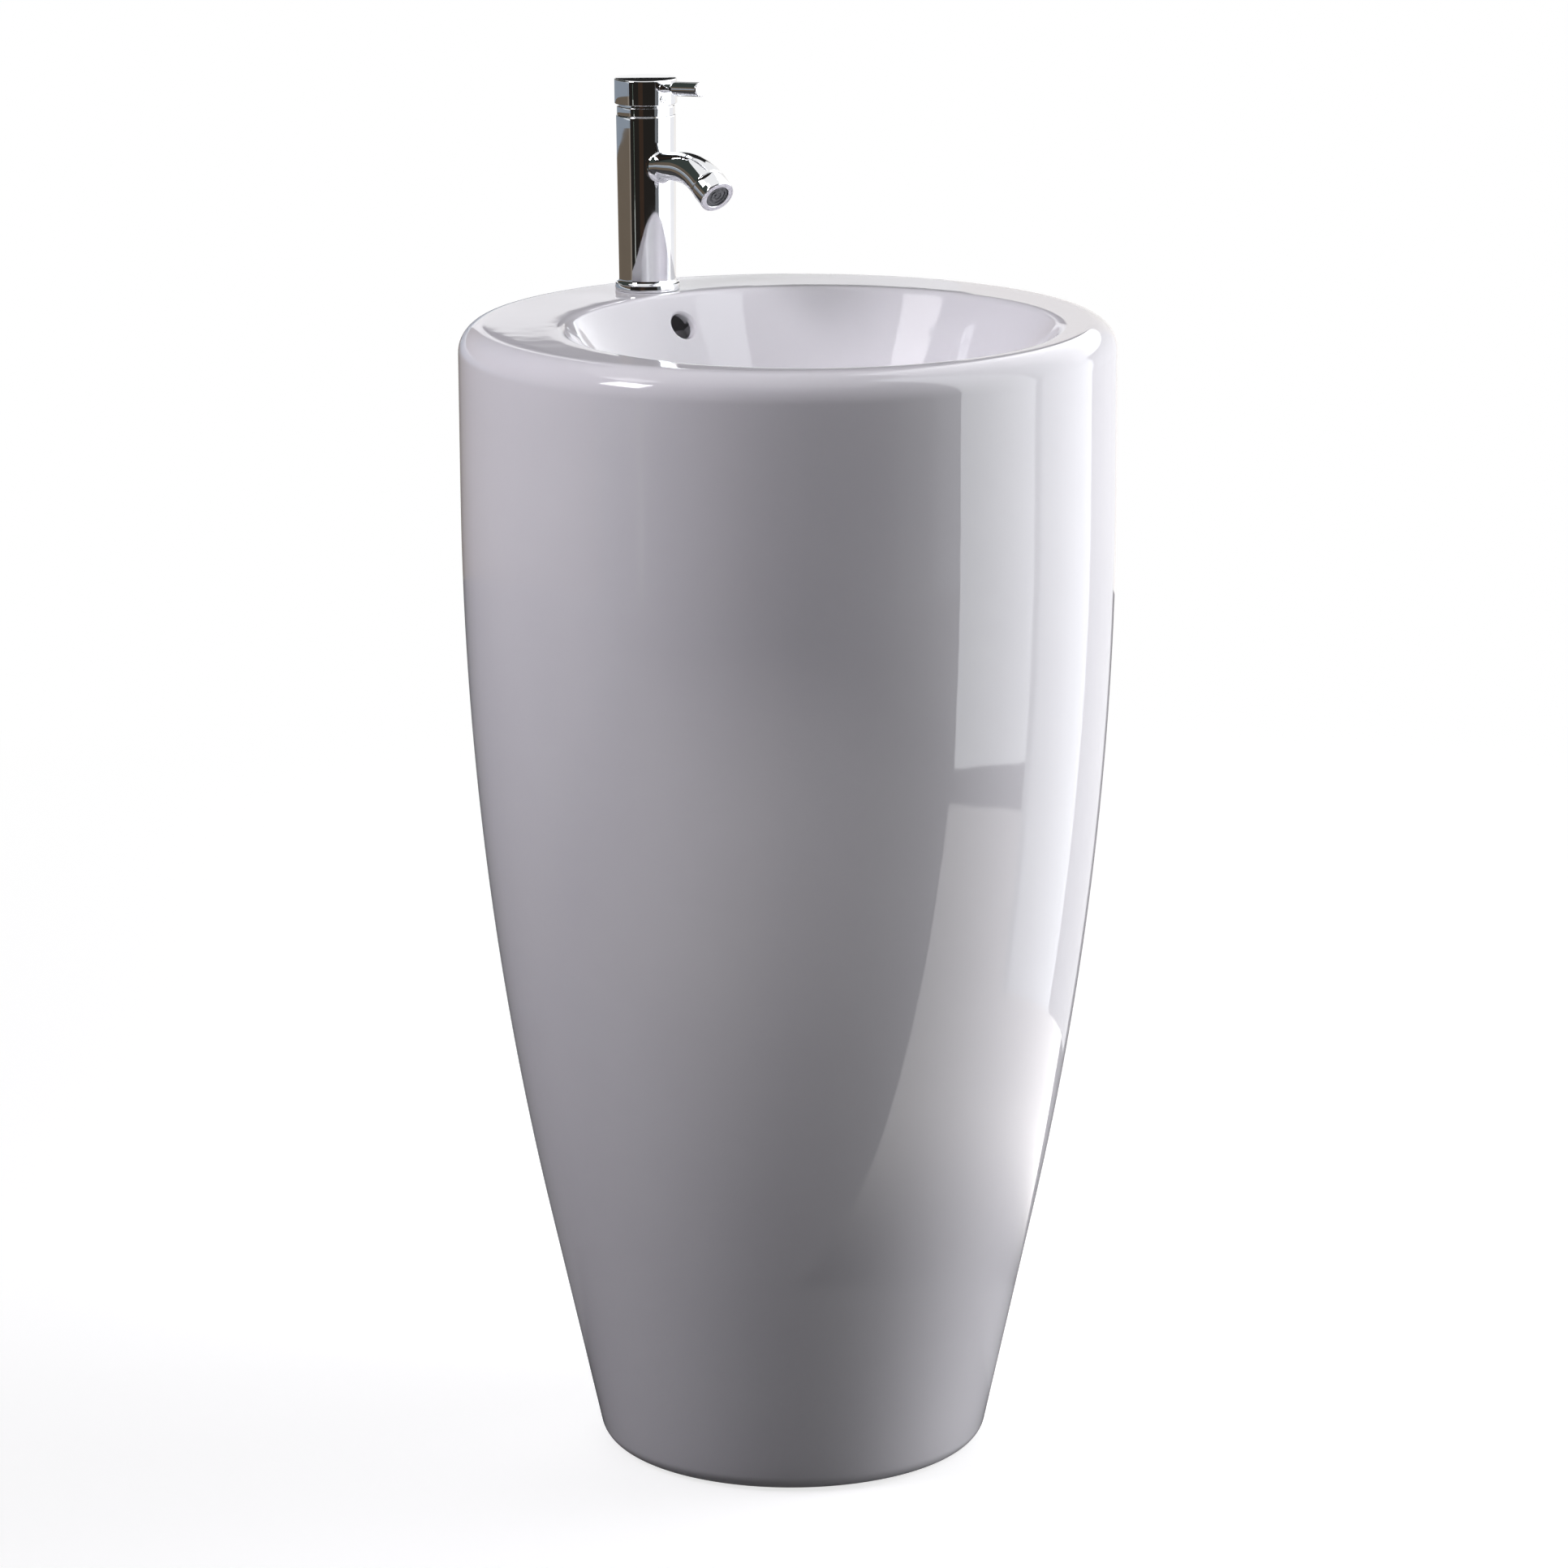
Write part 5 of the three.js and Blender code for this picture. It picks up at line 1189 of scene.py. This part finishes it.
def make_left_and_front_boards():
    """A high window's patches at the left, and the dark room with thin light lines in front."""
    panel("left_window", -88, -65, 2.0, 2.9, 4.0, DAYLIGHT, 4.5)
    panel("left_glint", -71, -54, 2.0, 1.9, 2.7, DAYLIGHT, 15.0)
    panel("front_dark", -66, 36, FAR, 0.0, ROOM_HIGH, DARK_WALL)
    panel("front_brown", -29, -12, FAR - 0.05, 0.0, ROOM_HIGH, (0.042, 0.026, 0.018))
    panel("front_line", -51.5, -49.5, FAR - 0.1, 0.0, 0.43, (0.8, 0.85, 0.8))
    panel("front_line_high", -51, -50, FAR - 0.1, 0.43, 0.95, (0.2, 0.27, 0.22))
    panel("left_edge", -72, -66, FAR, 0.0, 0.8, (0.26, 0.22, 0.18))
    panel("left_low", -180, -72, FAR, 0.0, 0.54, (0.15, 0.12, 0.09))
    panel("left_middle", -180, -66, FAR, 0.54, 0.95, (0.27, 0.31, 0.36))
    panel("left_strip", -180, -66, FAR, 0.95, 1.03, (0.8, 0.85, 0.9))
    panel("left_upper", -165, -66, FAR, 1.03, 1.7, (0.13, 0.105, 0.08))
    panel("left_high_dark", -165, -66, FAR, 1.7, 4.5, (0.045, 0.055, 0.05))


def make_right_boards():
    """A grey and a pale wall, and the large window with its bar, close by at the right."""
    panel("right_grey", 36, 50, FAR, 0.0, ROOM_HIGH, (0.17, 0.18, 0.19))
    panel("right_pale", 50, 66, FAR, 0.0, ROOM_HIGH, (0.5, 0.53, 0.56))
    panel("right_window", 54, 84, NEAR, 0.3, WINDOW_TOP, WINDOW, 4.0)
    panel("right_bar", 84, 87, NEAR, 0.0, WINDOW_TOP, WINDOW, 2.0)
    panel("right_pane", 87, 118, NEAR, 0.0, WINDOW_TOP, WINDOW, 2.8)
    panel("right_end", 118, 150, NEAR, 0.0, WINDOW_TOP, (0.98, 0.98, 1.0))


def make_floor_and_rear_boards():
    """Painted light of the lit floor in front and under the window, and the rear boards."""
    floor_pool("floor_front", -12, 1.4, 1.5, 1.35, (1.0, 0.97, 1.0), 1.7)
    floor_board("floor_right", (0, 140), 0.36, (56, 140), 1.6, (1.0, 0.97, 0.95), 2.4)

    panel("right_upper", 110, 160, NEAR - 0.01, 1.05, WINDOW_TOP, (0.97, 0.98, 1.0), 3.2)
    panel("back_right", 140, 176, FAR - 0.1, 0.0, 1.5, (1.0, 0.97, 0.94))
    panel("back_dark", 170, 190, FAR, 1.385, 4.0, DARK_BACK)
    panel("back_dark_low", 180.8, 182, FAR - 0.01, 1.36, 1.4, DARK_BACK)


make_camera()
make_floor()
make_world()
make_lamps()
make_left_and_front_boards()
make_right_boards()
make_floor_and_rear_boards()
bpy.context.scene.view_settings.view_transform = "Standard"
